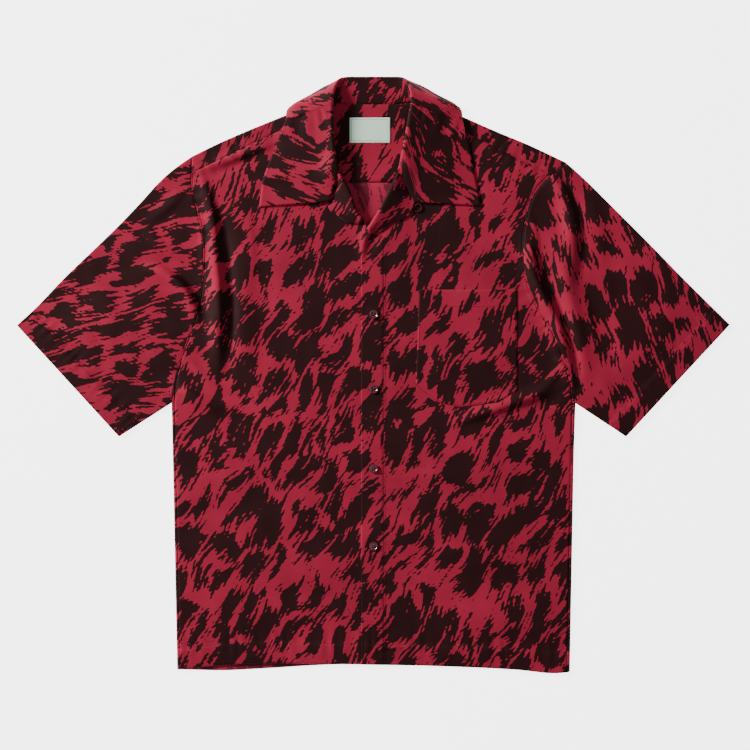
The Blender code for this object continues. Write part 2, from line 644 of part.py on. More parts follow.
# ---- collar ----
def mirrored(section):
    """The wearer's left section that matches one on the right."""
    values = section._asdict()
    for key in ("neck_x", "roll_x"):
        values[key] = -values[key] * MIRROR_NECK
    for key in ("bend_x", "under_x", "edge_x"):
        values[key] = -values[key] * MIRROR_EDGE
    return Section(**values)


def stand_points(neck, roll, turn):
    """The section's first points: seam, stand, and the crown of the roll."""
    down = neck - roll
    down = down / np.linalg.norm(down)
    below = roll + down * ROLL_DEPTH
    return [neck, (neck + below) / 2.0, below, roll, turn]


def back_section(row):
    """A section that turns under: its leaf passes the bend and lies beneath the yoke."""
    neck = np.array([row.neck_x, row.neck_y, row.neck_z])
    roll = np.array([row.roll_x, row.roll_y, row.roll_z])
    bend = np.array([row.bend_x, row.bend_y, row.bend_z])
    under = np.array([row.under_x, row.under_y, row.under_z])
    edge = np.array([row.edge_x, row.edge_y, row.edge_z])
    out = (bend - roll)[:2]
    out = out / np.linalg.norm(out)
    turn = np.array([*(roll[:2] + out * ROLL_WIDTH), row.turn_z])
    points = stand_points(neck, roll, turn)
    points += [turn + (bend - turn) * share for share in (0.25, 0.5, 0.75, 1.0)]
    points += [under]
    points += [under + (edge - under) * share for share in (1 / 3, 2 / 3, 1.0)]
    return points


def side_sections(side):
    """Sections of the leaf that lies on the shoulder and the front, down to the gorge."""
    out = np.array([FACING[side], 0.0])
    last = COLLAR_SECTIONS[-1] if side == RIGHT else mirrored(COLLAR_SECTIONS[-1])
    down = np.linspace(0.0, 1.0, COLLAR_SIDE_ROWS + 1)
    notch = np.array(COLLAR_NOTCH[side])
    roll = smooth_curve(COLLAR_ROLL[side])(down)
    turn = roll + out * ROLL_WIDTH
    edge = smooth_curve(COLLAR_EDGE[side])(down)
    steps = np.linspace(0.0, 1.0, COLLAR_LEAF_STEPS + 1)
    first = turn[0] + steps[:, None] * (edge[0] - turn[0])
    gorge = smooth_curve([turn[-1], np.array(GORGE_MIDDLE[side]), notch])
    lower_edge = smooth_curve([notch, edge[-1]])
    split = 3 / COLLAR_LEAF_STEPS
    lower = np.where(
        steps[:, None] <= split, gorge(steps / split), lower_edge((steps - split) / (1 - split))
    )
    plan = crossed(first, lower, turn, edge, steps, down)
    crown = last.roll_z + (CROWN - last.roll_z) * down**2
    sections = []
    for i in range(1, len(down)):
        seam = np.array([*(roll[i] + out * (STAND_LEAN - LEAN_LOSS * down[i] ** 2)), 0.0])
        seam[2] = float(front_loft(side, seam[0] + out[0], seam[1])) + 0.2
        top = np.array([*roll[i], crown[i]])
        turned = np.array([*turn[i], crown[i] + 1.0])
        rest = front_top(side, plan[i, :, 0], plan[i, :, 1]) + LEAF_REST
        fall = (1.0 - steps) ** 1.25
        height = np.maximum(rest + (turned[2] - rest[0]) * fall, rest)
        points = stand_points(seam, top, turned)
        points += [(*plan[i, k], height[k]) for k in range(1, len(steps))]
        sections.append(points)
    return sections


def collar():
    """One-piece camp collar, from the wearer's right gorge round the neck to the left."""
    sections = side_sections(RIGHT)[::-1]
    sections += [back_section(row) for row in COLLAR_SECTIONS[::-1]]
    sections += [back_section(mirrored(row)) for row in COLLAR_SECTIONS[1:]]
    sections += side_sections(LEFT)
    points = np.array(sections, float)
    return cloth_wall("collar", PRINT, points, COLLAR_CLOTH, outward=-1.0)


def lapel(side):
    """The front's turned-back facing, between its roll and its notched edge."""
    out = np.array([FACING[side], 0.0])
    down = np.linspace(0.06, 1.0, 9)
    steps = np.linspace(0.0, 1.0, 6)
    roll = smooth_curve(LAPEL_ROLL[side])(down)
    edge = smooth_curve(LAPEL_EDGE[side])(down)
    crown = CROWN - LAPEL_DROP * down
    rows = []
    for i in range(len(down)):
        top = np.array([*roll[i], crown[i]])
        low = np.array([*(roll[i] + out * 0.8), crown[i] - 2.6])
        low[2] = max(low[2], float(front_top(side, low[0], low[1])) + 0.5)
        turned = np.array([*(roll[i] + out * 1.6), crown[i] + 0.8])
        plan = turned[:2] + steps[:, None] * (edge[i] - turned[:2])
        rest = front_top(side, plan[:, 0], plan[:, 1]) + LEAF_REST
        fall = (1.0 - steps) ** 1.2
        height = np.maximum(rest + (turned[2] - rest[0]) * fall, rest)
        rows.append([low, top] + [(*p, h) for p, h in zip(plan, height)])
    points = np.array(rows, float)
    return cloth_wall("lapel_" + side, PRINT, points, COLLAR_CLOTH, outward=-out[0])


# ---- pocket, label, buttons and loop ----
def chest_pocket():
    """A patch pocket with a pointed bottom, on the wearer's left front."""
    across, bottom = straight_steps(POCKET_BOTTOM, 3)
    up = np.linspace(0.0, 1.0, 11)
    top_x = POCKET["left_top"] + across * (POCKET["right"] - POCKET["left_top"])
    top = np.stack([top_x, np.full(len(across), POCKET["top"])], 1)
    plan = bottom[None] + up[:, None, None] * (top - bottom)[None]
    height = front_top(LEFT, plan[..., 0], plan[..., 1]) + GAP
    return cloth_wall("chest_pocket", PRINT, with_height(plan, height), TRIM, outward=1.0)


def neck_label():
    """The woven label, sewn on the inner yoke."""
    x = np.linspace(LABEL["left"], LABEL["right"], 4)
    y = np.linspace(LABEL["low"], LABEL["high"], 3)
    plan = np.stack(np.meshgrid(x, y), axis=-1)
    height = lift(plan[..., 0], plan[..., 1]) + 2.0 * CLOTH + 2.0 * GAP
    return cloth_wall("neck_label", MINT, with_height(plan, height), TRIM * 0.75, outward=1.0)


def button_mesh():
    """A four-hole button: a turned disc with a raised rim, then the holes cut through."""
    outline = [  # radius and height from the button's middle, bottom to top
        (0.0, -1.3), (4.6, -1.3), (5.7, -0.7), (BUTTON_RADIUS, 0.1), (5.7, 1.0), (5.0, 1.3),
        (4.3, 1.15), (3.6, 0.7), (0.0, 0.6),
    ]
    turns = 24
    vertices = [(0.0, 0.0, outline[0][1])]
    for radius, height in outline[1:-1]:
        for k in range(turns):
            angle = 2 * math.pi * k / turns
            vertices.append((radius * math.cos(angle), radius * math.sin(angle), height))
    vertices.append((0.0, 0.0, outline[-1][1]))
    faces = [(0, 1 + (k + 1) % turns, 1 + k) for k in range(turns)]
    for ring in range(len(outline) - 3):
        for k in range(turns):
            a, b = 1 + ring * turns + k, 1 + ring * turns + (k + 1) % turns
            faces.append((a, b, b + turns, a + turns))
    top = len(vertices) - 1
    start = top - turns
    faces += [(start + k, start + (k + 1) % turns, top) for k in range(turns)]
    blank = finish("button_blank", BUTTON_COLOUR, vertices, faces)
    cutters = []
    for sx in (-1, 1):
        for sy in (-1, 1):
            bpy.ops.mesh.primitive_cylinder_add(
                vertices=8, radius=BUTTON_HOLE * MM, depth=2 * BUTTON_THICK * MM,
                location=(sx * BUTTON_HOLE_OUT * MM, sy * BUTTON_HOLE_OUT * MM, 0.0),
            )
            cutter = bpy.context.object
            cut = blank.modifiers.new("thread hole", "BOOLEAN")
            cut.operation = "DIFFERENCE"
            cut.object = cutter
            cutters.append(cutter)
    drawn = blank.evaluated_get(bpy.context.evaluated_depsgraph_get())
    mesh = bpy.data.meshes.new_from_object(drawn)
    for extra in [*cutters, blank]:
        bpy.data.objects.remove(extra)
    return mesh


def buttons():
    """Four buttons down the placket, each on the upper front."""
    shared = button_mesh()
    for number, y in enumerate(BUTTON_ROWS, start=1):
        name = f"button_{number}"
        mesh = shared.copy()
        material = shared.materials[0].copy()
        material.name = name
        mesh.materials.clear()
        mesh.materials.append(material)
        thing = bpy.data.objects.new(name, mesh)
        spread = np.array([-BUTTON_RADIUS, 0.0, BUTTON_RADIUS])
        rest = float(front_top(LEFT, BUTTON_X + spread, np.full(3, y)).max())
        thing.location = (BUTTON_X * MM, y * MM, (rest + GAP + BUTTON_THICK / 2) * MM)
        bpy.context.scene.collection.objects.link(thing)


def button_loop():
    """A small cord loop at the left lapel's corner, for the collar's hidden button."""
    line = smooth_curve(LOOP)(np.linspace(0.0, 1.0, 15))
    rows = []
    for i, centre in enumerate(line):
        before, after = line[max(i - 1, 0)], line[min(i + 1, len(line) - 1)]
        side = np.array([-(after - before)[1], (after - before)[0]])
        side = side / np.linalg.norm(side)
        height = float(front_top(LEFT, *centre)) + GAP + 0.2 + LOOP_RADIUS
        ring = []
        for k in range(LOOP_SIDES):
            angle = 2 * math.pi * k / LOOP_SIDES
            ring.append((*(centre + side * LOOP_RADIUS * math.cos(angle)),
                         height + LOOP_RADIUS * math.sin(angle)))
        rows.append(ring)
    vertices = [p for ring in rows for p in ring]
    faces = []
    for i in range(len(rows) - 1):
        for k in range(LOOP_SIDES):
            a, b = i * LOOP_SIDES + k, i * LOOP_SIDES + (k + 1) % LOOP_SIDES
            faces.append((a, b, b + LOOP_SIDES, a + LOOP_SIDES))
    faces.append(tuple(range(LOOP_SIDES))[::-1])
    faces.append(tuple(len(vertices) - LOOP_SIDES + k for k in range(LOOP_SIDES)))
    return finish("button_loop", PRINT, vertices, faces)


def build():
    for thing in list(bpy.data.objects):
        bpy.data.objects.remove(thing)
    back_panel()
    yoke()
    yoke_facing()
    for side in (RIGHT, LEFT):
        front_panel(side)
        sleeve(side)
        lapel(side)
    collar()
    chest_pocket()
    neck_label()
    buttons()
    button_loop()


build()
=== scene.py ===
# %% [markdown]
# A short-sleeved shirt with an open camp collar, buttoned and laid flat on its back.
# The imported model gives every piece at its real size. This file dresses it: each cloth
# piece becomes a fine shell on the same form, with creases, hems, stitches and print.
#
# Blender's cloth simulation could drape a cut shirt on a table, but its creases would
# fall where they like. Here they are placed one by one, so that they lie where they do on
# the real shirt, and the script gives the same shirt on each run.

# %% Load the model
import math
from collections import namedtuple

import bpy
import numpy as np
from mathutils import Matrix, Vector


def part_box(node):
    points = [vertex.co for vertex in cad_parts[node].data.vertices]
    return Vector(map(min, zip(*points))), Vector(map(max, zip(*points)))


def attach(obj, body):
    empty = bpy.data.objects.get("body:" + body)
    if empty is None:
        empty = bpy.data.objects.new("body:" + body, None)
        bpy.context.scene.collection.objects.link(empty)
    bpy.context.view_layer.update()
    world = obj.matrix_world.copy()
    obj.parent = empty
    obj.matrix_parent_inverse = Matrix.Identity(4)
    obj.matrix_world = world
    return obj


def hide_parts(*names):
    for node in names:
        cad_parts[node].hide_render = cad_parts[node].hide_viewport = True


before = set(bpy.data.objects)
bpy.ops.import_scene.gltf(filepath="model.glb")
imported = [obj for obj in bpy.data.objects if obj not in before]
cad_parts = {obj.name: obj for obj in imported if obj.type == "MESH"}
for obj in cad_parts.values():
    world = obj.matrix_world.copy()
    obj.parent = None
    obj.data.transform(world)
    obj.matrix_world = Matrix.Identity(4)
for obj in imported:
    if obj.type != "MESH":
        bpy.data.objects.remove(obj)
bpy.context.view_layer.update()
print("nodes:", len(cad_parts))

# %% [markdown]
# A shirt lies in layers: the back on the table, the fronts over it, the collar on top.
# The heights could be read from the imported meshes, but a fine shell needs them between
# the coarse points too. So the sizes that made the solids are repeated, in millimetres.
# +X is the wearer's left, +Y runs from the hem to the collar, and +Z points up.

# %% Sizes
MM = 0.001
CLOTH = 1.0            # one layer of the shirt's cloth
COLLAR_CLOTH = 1.5     # two layers and their interlining
TRIM = 0.8             # pocket
LABEL_CLOTH = 0.6
GAP = 0.3              # between neighbouring pieces
SEAM = 0.5             # what a seam leaves between two pieces, seen from above
LOFT = 3.0             # inner side of the upper layer above the table
TROUGH = 1.3           # no trough is deeper than this below the loft
UNDERLAY = 1.8         # how far the collar's hidden fall lifts the back of the neck
WRAP = 1.3             # what the closed placket adds to the upper front
CURL = 2.6             # width over which a front's side edge curls down
LAPEL_RISE = 5.0       # how far a front climbs to its lapel's roll, at the top
LAPEL_RISE_LOSS = 0.85 # share of that climb lost by the roll's low end
LAPEL_REACH = 18.0     # how far from the roll the climb starts
RESTING = 0.5          # between a turned-back leaf and the front under it
BUTTON_X = 0.5
BUTTON_ROWS = (80.2, -19.2, -124.6, -227.7)
LOOP_AT = (60.0, 222.0)
BACK_SEAM_Y = 256.0
NECK_SEAM_Y = 358.8
NECK_CORNER_Y = 366.0
LABEL = dict(left=-31.5, right=22.1, low=308.3, high=341.3)
HEM = 27.0             # depth of the turned hems
STITCH_X = 13.9        # the placket's line of stitches
RIGHT = "right"
LEFT = "left"
FACING = {RIGHT: -1.0, LEFT: 1.0}
print("the upper layer's inner side lies %.1f mm above the table" % LOFT)

# %% [markdown]
# These are the outlines of the cut pieces as they lie. They could be drawn as Bezier
# curves, but a row of a few spots of x and y is easy to read and to change, and a smooth
# curve runs through them later. Each row starts at the hem, the neck or the armpit.

# %% Outlines
SIDE_SEAM = {
    RIGHT: [(-260.5, -391.3), (-264.5, -193.1), (-266.5, -100.0), (-268.0, -37.0)],
    LEFT: [(260.9, -394.6), (264.7, -193.1), (266.5, -100.0), (268.5, -37.5)],
}
ARMHOLE = {  # armpit up to the forward yoke seam
    RIGHT: [(-268.0, -37.0), (-264.0, -8.0), (-254.0, 28.0), (-241.0, 64.0), (-231.0, 102.0),
            (-226.0, 142.0), (-227.0, 184.0), (-233.5, 216.0), (-242.0, 256.0), (-241.5, 268.0)],
    LEFT: [(268.5, -37.5), (264.0, -12.0), (254.0, 20.0), (238.0, 58.0), (217.0, 94.0),
           (204.0, 128.0), (199.0, 166.0), (203.0, 204.0), (212.0, 236.0), (226.0, 256.0),
           (236.3, 265.0)],
}
SHOULDER_POINT = {RIGHT: (-240.5, 290.5), LEFT: (256.0, 282.0)}
SHOULDER = {
    RIGHT: [(-62.0, 366.0), (-110.9, 346.9), (-164.1, 325.6), (-205.3, 307.6), (-240.5, 290.5)],
    LEFT: [(58.3, 366.0), (115.2, 344.2), (164.5, 322.9), (204.0, 306.6), (256.0, 282.0)],
}
YOKE_SEAM = {
    RIGHT: [(-61.5, 349.0), (-124.2, 324.3), (-177.4, 299.0), (-241.5, 268.0)],
    LEFT: [(57.8, 349.0), (115.0, 325.0), (169.8, 299.0), (208.3, 277.7), (236.3, 265.0)],
}
SLEEVE_FOLD = {
    RIGHT: [(-240.5, 290.5), (-262.5, 275.0), (-279.8, 260.4), (-307.7, 230.2), (-335.6, 201.0),
            (-376.3, 161.6), (-406.9, 132.3), (-455.3, 82.7), (-473.5, 66.2)],
    LEFT: [(256.0, 282.0), (282.0, 258.7), (310.8, 230.2), (364.0, 176.9), (415.0, 124.8),
           (473.5, 66.9)],
}
UNDERARM = {
    RIGHT: [(-268.0, -37.0), (-337.6, -82.1)],
    LEFT: [(268.5, -37.5), (335.4, -82.1)],
}
FRONT_HEM = {
    RIGHT: [(13.8, -385.0), (-57.7, -384.0), (-148.0, -382.8), (-193.0, -384.6), (-260.5, -391.3)],
    LEFT: [(-15.8, -384.6), (88.6, -386.9), (191.0, -391.7), (247.0, -396.1), (260.9, -394.6)],
}
BACK_HEM = [(-260.5, -391.3), (-193.0, -392.5), (-148.0, -390.2), (-57.7, -385.0),
            (60.0, -384.5), (160.0, -388.0), (260.9, -394.6)]
FRONT_EDGE = {
    RIGHT: [(13.8, -385.0), (13.8, 90.0), (13.8, 120.0), (11.0, 165.0), (0.0, 190.0), (-14.0, 206.0),
            (-26.0, 220.0), (-35.0, 244.0), (-50.5, 271.0), (-59.0, 302.0), (-61.5, 330.0),
            (-61.5, 349.0)],
    LEFT: [(-15.8, -384.6), (-15.8, 150.0), (-15.8, 172.0), (-12.0, 188.0), (0.0, 202.0),
           (8.0, 213.0), (22.5, 238.0), (39.0, 272.0), (50.5, 317.0), (54.5, 340.0),
           (57.8, 349.0)],
}
LAPEL_ROLL = {
    RIGHT: [(-46.5, 269.5), (-31.1, 241.0), (-22.5, 216.5), (-13.0, 204.5)],
    LEFT: [(34.0, 271.0), (18.2, 236.5), (4.0, 211.0), (-8.0, 193.0)],
}
LAPEL_EDGE = {
    RIGHT: [(-47.5, 269.5), (-52.6, 248.0), (-58.6, 229.4), (-58.3, 219.8), (-49.7, 213.9),
            (-33.7, 202.2), (-16.5, 201.0)],
    LEFT: [(35.0, 271.0), (44.4, 248.0), (54.2, 229.0), (52.1, 217.2), (39.4, 207.2),
           (22.1, 200.6), (15.5, 193.9), (-5.0, 187.0)],
}
COLLAR_ROLL = {
    RIGHT: [(-54.0, 360.0), (-54.0, 340.0), (-52.0, 302.0), (-46.5, 270.5)],
    LEFT: [(50.8, 360.0), (47.0, 340.0), (43.0, 317.0), (34.0, 272.0)],
}
COLLAR_EDGE = {
    RIGHT: [(-115.5, 338.0), (-123.5, 317.6), (-133.5, 292.3), (-144.9, 263.0), (-151.4, 223.2)],
    LEFT: [(117.8, 338.0), (125.9, 305.6), (135.2, 259.0), (142.5, 224.5)],
}
COLLAR_NOTCH = {RIGHT: (-59.4, 230.5), LEFT: (55.0, 230.0)}
GORGE_MIDDLE = {RIGHT: (-53.0, 249.0), LEFT: (45.0, 249.0)}
POCKET = dict(left_top=61.4, left_low=56.5, right=190.7, top=112.8)
POCKET_BOTTOM = [(56.5, -17.6), (82.0, -35.5), (116.6, -42.8), (165.8, -36.2), (190.4, -20.2)]
print("hem width: %.0f mm" % (BACK_HEM[-1][0] - BACK_HEM[0][0]))

# %% [markdown]
# The collar stands on the neck seam, rolls over and falls back on the shoulders. It
# could be one profile swept round the neck, but its cross-section changes on the way. So
# it has a table: one row for each section, from the centre back to the shoulder, with
# the seam, the roll, the bend of the fall, where it goes under, and its edge.

# %% Collar sections
Section = namedtuple(
    "Section",
    "neck_x neck_y neck_z roll_x roll_y roll_z turn_z "
    "bend_x bend_y bend_z under_x under_y under_z edge_x edge_y edge_z",
)
COLLAR_SECTIONS = [
    Section(0, 359.4, 2.2, 0, 394.5, 4.6, 2.6, 0, 391.5, 1.6, 0, 388.0, 1.5, 0, 331.0, 1.5),
    Section(-20, 359.4, 2.2, -20, 394.5, 4.6, 2.6, -20, 391.5, 1.6, -21, 388, 1.5, -23, 331, 1.5),
    Section(-37, 360.4, 2.3, -37, 394.2, 5.2, 3.2, -39, 390.5, 1.6, -42, 386, 1.5, -46, 331, 1.5),
    Section(-50, 363.0, 2.8, -45.5, 391, 8.0, 7.0, -62, 382.8, 3.4, -64, 377, 1.5, -66, 332, 1.5),
    Section(-58, 365.9, 4.2, -50.0, 384, 12.2, 12.0, -83, 370.8, 4.6, -85, 366, 1.5, -84, 334, 1.5),
    Section(-60.8, 362, 5.2, -52.0, 378, 14.8, 14.8, -99, 362.5, 5.4, -101, 359, 1.5, -98, 339, 1.5),
    Section(-60.8, 359, 5.2, -53.0, 372, 16.2, 16.6, -104, 359, 7.0, -109, 355.5, 3.0,
            -108.6, 350.8, 1.5),
    Section(-60.8, 355, 5.2, -53.6, 366, 16.9, 17.6, -103, 355.5, 9.4, -111, 352.5, 6.2,
            -114.2, 350.0, 4.0),
    Section(-60.8, 350, 5.2, -54.0, 360, 17.2, 18.2, -90, 347.0, 13.6, -103, 342.0, 11.2,
            -115.5, 338.0, 9.0),
]
MIRROR_NECK = 0.94     # the wearer's left side is this much narrower at the neck
MIRROR_EDGE = 1.02     # and this much wider at the collar's edge
STAND_LEAN = 6.6       # how far the stand leans out from its seam
LEAN_LOSS = 3.4        # how much of that is lost by the gorge
ROLL_CROWN = 13.5      # height of the roll where the collar meets the lapel
ROLL_ROUND = 4.0       # length over which the stand bends into the roll
ROLL_TURN = 2.2        # from the roll's crown to where the fall starts
print("collar sections from the table:", 2 * len(COLLAR_SECTIONS) - 1)

# %% [markdown]
# Thin cloth that is laid down by hand keeps long soft creases, most of them where the
# sleeves pull on the body. A simulation would fold it somewhere else. So each crease is
# a soft ridge or trough, in millimetres, along a curve through three spots. steep makes
# its one side steeper, as a fold that leans over has. The first rows follow the large
# creases of the solids, a little deeper and moved by a few millimetres. The others are
# finer and are only here.

# %% Creases
Crease = namedtuple("Crease", "x1 y1 x2 y2 x3 y3 width height steep")
CREASES = [
    Crease(-226, 256, -213, 204, -208, 146, 10, 5.5, 0.42),
    Crease(-212, 172, -205, 100, -206, 10, 12, 7.5, 0.38),
    Crease(-206, 226, -189, 120, -191, 0, 7, -1.8, 0.0),
    Crease(-182, 214, -172, 110, -176, 10, 15, 2.4, 0.0),
    Crease(-136, 306, -178, 291, -222, 274, 8, 3.2, 0.45),
    Crease(-302, 142, -258, 122, -234, 78, 10, 6.6, 0.5),
    Crease(-292, 162, -246, 128, -220, 78, 7, -2.2, 0.0),
    Crease(-256, 240, -274, 222, -296, 206, 9, 2.0, 0.3),
    Crease(-262, -10, -236, -30, -204, -46, 10, 4.6, 0.0),
    Crease(-225, -88, -184, -98, -120, -106, 14, 1.5, 0.2),
    Crease(246, 176, 262, 100, 284, 8, 12, 6.2, 0.0),
    Crease(222, 164, 231, 122, 246, 88, 7, -1.8, 0.0),
    Crease(240, 100, 262, 48, 275, -18, 6, -1.8, 0.0),
    Crease(208, 180, 214, 132, 232, 90, 10, 6.6, 0.5),
    Crease(222, 116, 246, 62, 264, -14, 11, 6.6, 0.45),
    Crease(240, 262, 261, 210, 264, 136, 11, 6.2, 0.5),
    Crease(252, 256, 276, 206, 278, 136, 6, -1.6, 0.0),
    Crease(232, -22, 184, -38, 112, -64, 10, 4.8, 0.5),
    Crease(330, 150, 356, 110, 372, 60, 16, 1.8, 0.0),
    # Finer ones: the body by the armholes, the fronts, then the sleeves.
    Crease(-232, 214, -226, 180, -228, 140, 5, 1.3, 0.4),
    Crease(-198, 132, -188, 84, -196, 30, 6, -1.1, 0.0),
    Crease(-170, 226, -162, 170, -166, 118, 9, 0.9, 0.3),
    Crease(-226, 96, -212, 70, -206, 38, 5, 1.4, 0.4),
    Crease(-244, 20, -222, -6, -192, -22, 7, 1.6, 0.3),
    Crease(-250, -6, -230, -26, -204, -36, 5, -0.8, 0.0),
    Crease(-172, 246, -130, 262, -94, 258, 8, 0.9, 0.3),
    Crease(-150, 290, -186, 276, -218, 262, 5, -0.9, 0.0),
    Crease(-238, -180, -206, -196, -160, -198, 13, 1.0, 0.3),
    Crease(-66, -40, -40, -70, -8, -84, 9, 0.8, 0.3),
    Crease(-60, 66, -34, 50, -6, 44, 8, 0.7, 0.3),
    Crease(-96, -296, -60, -310, -18, -312, 11, 0.8, 0.2),
    Crease(60, -228, 96, -236, 150, -228, 11, 0.9, 0.2),
    Crease(40, -126, 74, -134, 120, -130, 10, 0.8, 0.2),
    Crease(206, 214, 216, 180, 214, 140, 6, 1.4, 0.4),
    Crease(232, 66, 240, 34, 256, 2, 5, 1.3, 0.4),
    Crease(246, 10, 228, -18, 196, -36, 7, 1.7, 0.3),
    Crease(250, -20, 232, -40, 206, -50, 5, -0.9, 0.0),
    Crease(176, -150, 206, -168, 246, -170, 12, 1.0, 0.3),
    Crease(150, 300, 186, 284, 222, 264, 7, 1.5, 0.4),
    Crease(-300, 196, -286, 176, -262, 160, 7, 1.4, 0.3),
    Crease(-330, 134, -302, 116, -272, 86, 10, 1.4, 0.3),
    Crease(-316, 92, -290, 66, -262, 54, 9, 1.3, 0.3),
    Crease(-300, 34, -282, 22, -262, 12, 8, 1.2, 0.3),
    Crease(-372, 128, -352, 92, -346, 52, 14, 1.1, 0.2),
    Crease(-404, 74, -380, 44, -368, 8, 13, 0.9, 0.2),
    Crease(286, 232, 300, 196, 304, 150, 11, 1.6, 0.3),
    Crease(274, 116, 288, 70, 296, 26, 9, 1.8, 0.3),
    Crease(296, 100, 314, 56, 316, 10, 8, -0.7, 0.0),
    Crease(300, -6, 318, -28, 330, -44, 9, 1.1, 0.3),
    Crease(384, 128, 392, 92, 388, 56, 14, 1.0, 0.2),
    # The free edge curls below the neck, with a hollow beside it.
    Crease(4, 203, -9, 186, -15, 158, 6, 3.0, 0.45),
    Crease(22, 199, 4, 183, -5, 160, 6, -1.8, 0.0),
]

# Broad swells, where air stays between the layers.
Swell = namedtuple("Swell", "x y reach_x reach_y height")
SWELLS = [
    Swell(-130, -190, 90, 150, 1.0),
    Swell(125, -190, 95, 150, 1.0),
    Swell(-95, 60, 70, 110, 0.8),
    Swell(120, 60, 80, 100, 0.8),
    Swell(-355, 30, 60, 60, 1.0),
    Swell(355, 30, 60, 60, 1.0),
]
print("creases:", len(CREASES), "swells:", len(SWELLS))

# %% [markdown]
# A pattern maker draws with a curve and fills between curves, and so does this file.
# Blender's curve objects could do it, but numpy arrays are quicker to work out and give
# each point's place on the cloth as well. There is a soft step, a smooth curve through
# spots, and a patch between four curves. Every piece's grid comes from these three.


# %% Curves and patches
def ramp(value, low, high):
    """0 below low, 1 above high, and a soft step between them."""
    share = np.clip((np.asarray(value, float) - low) / (high - low), 0.0, 1.0)
    return share * share * (3.0 - 2.0 * share)


def smooth_curve(spots):
    """A smooth curve through the spots, as a function of the share of its length."""
    spots = np.asarray(spots, float)
    step = np.linalg.norm(np.diff(spots, axis=0), axis=1)
    place = np.concatenate([[0.0], np.cumsum(step)]) / step.sum()
    slope = np.diff(spots, axis=0) / np.diff(place)[:, None]
    tangent = np.repeat(slope[:1], len(spots), axis=0)
    for i in range(1, len(spots) - 1):
        before, after = place[i] - place[i - 1], place[i + 1] - place[i]
        tangent[i] = (slope[i - 1] * after + slope[i] * before) / (before + after)
    tangent[-1] = slope[-1]

    def at(share):
        share = np.clip(np.atleast_1d(np.asarray(share, float)), 0.0, 1.0)
        i = np.clip(np.searchsorted(place, share, side="right") - 1, 0, len(place) - 2)
        width = place[i + 1] - place[i]
        t = ((share - place[i]) / width)[:, None]
        width = width[:, None]
        return (
            (2 * t**3 - 3 * t**2 + 1) * spots[i]
            + (t**3 - 2 * t**2 + t) * width * tangent[i]
            + (3 * t**2 - 2 * t**3) * spots[i + 1]
            + (t**3 - t**2) * width * tangent[i + 1]
        )

    return at


def share_at(curve, axis, value):
    """The share of the curve's length at which one coordinate reaches a value."""
    shares = np.linspace(0.0, 1.0, 2001)
    return float(shares[np.argmin(np.abs(curve(shares)[:, axis] - value))])


def crossed(low, high, start, end, across, along):
    """A patch between four edge curves: grid points for shares across and along."""
    u = np.asarray(across, float)[None, :, None]
    v = np.asarray(along, float)[:, None, None]
    ruled = (1 - v) * low[None] + v * high[None] + (1 - u) * start[:, None] + u * end[:, None]
    corners = (
        (1 - u) * (1 - v) * low[0] + u * (1 - v) * low[-1]
        + (1 - u) * v * high[0] + u * v * high[-1]
    )
    return ruled - corners


def with_height(plan, height):
    """Adds a height column to plan points."""
    return np.concatenate([plan, np.asarray(height, float)[..., None]], axis=-1)


def refined(values, count):
    """Rows of a table with count steps between two rows, on a smooth curve through them."""
    values = np.asarray(values, float)
    rows = len(values)
    tangent = np.empty_like(values)
    tangent[1:-1] = (values[2:] - values[:-2]) / 2.0
    tangent[0] = values[1] - values[0]
    tangent[-1] = values[-1] - values[-2]
    place = np.linspace(0.0, rows - 1.0, (rows - 1) * count + 1)
    i = np.clip(place.astype(int), 0, rows - 2)
    t = (place - i).reshape(-1, *([1] * (values.ndim - 1)))
    return (
        (2 * t**3 - 3 * t**2 + 1) * values[i] + (t**3 - 2 * t**2 + t) * tangent[i]
        + (3 * t**2 - 2 * t**3) * values[i + 1] + (t**3 - t**2) * tangent[i + 1]
    )


# %% [markdown]
# The shirt lies flat, so one height field can carry its whole upper layer. Displace
# modifiers on each piece would do it too, but then two pieces that meet at a seam could
# part. With one field they can't: it gives every layer's height at any x and y. Its parts
# are the loft, the creases, the unevenness of thin cloth, and the lift over the hidden
# fall of the collar. The unevenness is a sum of waves, the same on each run.

# %% Creases and waves
FALL_FROM, FALL_TO = (285.0, 318.0), (116.0, 140.0)  # fades in along y, out along x


def lift(x, y):
    """How far the collar's hidden fall raises the cloth that lies on it."""
    return UNDERLAY * ramp(y, *FALL_FROM) * (1.0 - ramp(np.abs(x), *FALL_TO))


def crease_height(crease, x, y):
    """A crease's height at x, y. It fades at both ends, and it is narrower, so steeper,
    on the left of the way from its first spot to its last."""
    height = np.zeros(np.shape(x))
    mid_x = 2 * crease.x2 - (crease.x1 + crease.x3) / 2
    mid_y = 2 * crease.y2 - (crease.y1 + crease.y3) / 2
    reach = 3.0 * crease.width
    near = (
        (x > min(crease.x1, crease.x2, crease.x3) - reach)
        & (x < max(crease.x1, crease.x2, crease.x3) + reach)
        & (y > min(crease.y1, crease.y2, crease.y3) - reach)
        & (y < max(crease.y1, crease.y2, crease.y3) + reach)
    )
    if not near.any():
        return height
    t = np.linspace(0.0, 1.0, 41)
    line_x = (1 - t) ** 2 * crease.x1 + 2 * t * (1 - t) * mid_x + t**2 * crease.x3
    line_y = (1 - t) ** 2 * crease.y1 + 2 * t * (1 - t) * mid_y + t**2 * crease.y3
    off_x, off_y = x[near][None] - line_x[:, None], y[near][None] - line_y[:, None]
    away = off_x**2 + off_y**2
    fade = np.sin(np.pi * (0.04 + 0.92 * t))[:, None] ** 0.7
    turn = np.gradient(line_x)[:, None] * off_y - np.gradient(line_y)[:, None] * off_x
    turn /= np.hypot(np.gradient(line_x), np.gradient(line_y))[:, None]
    width = crease.width * (1.0 - crease.steep * ramp(turn, 0.0, 4.0))
    height[near] = crease.height * (np.exp(-away / width**2) * fade).max(axis=0)
    return height


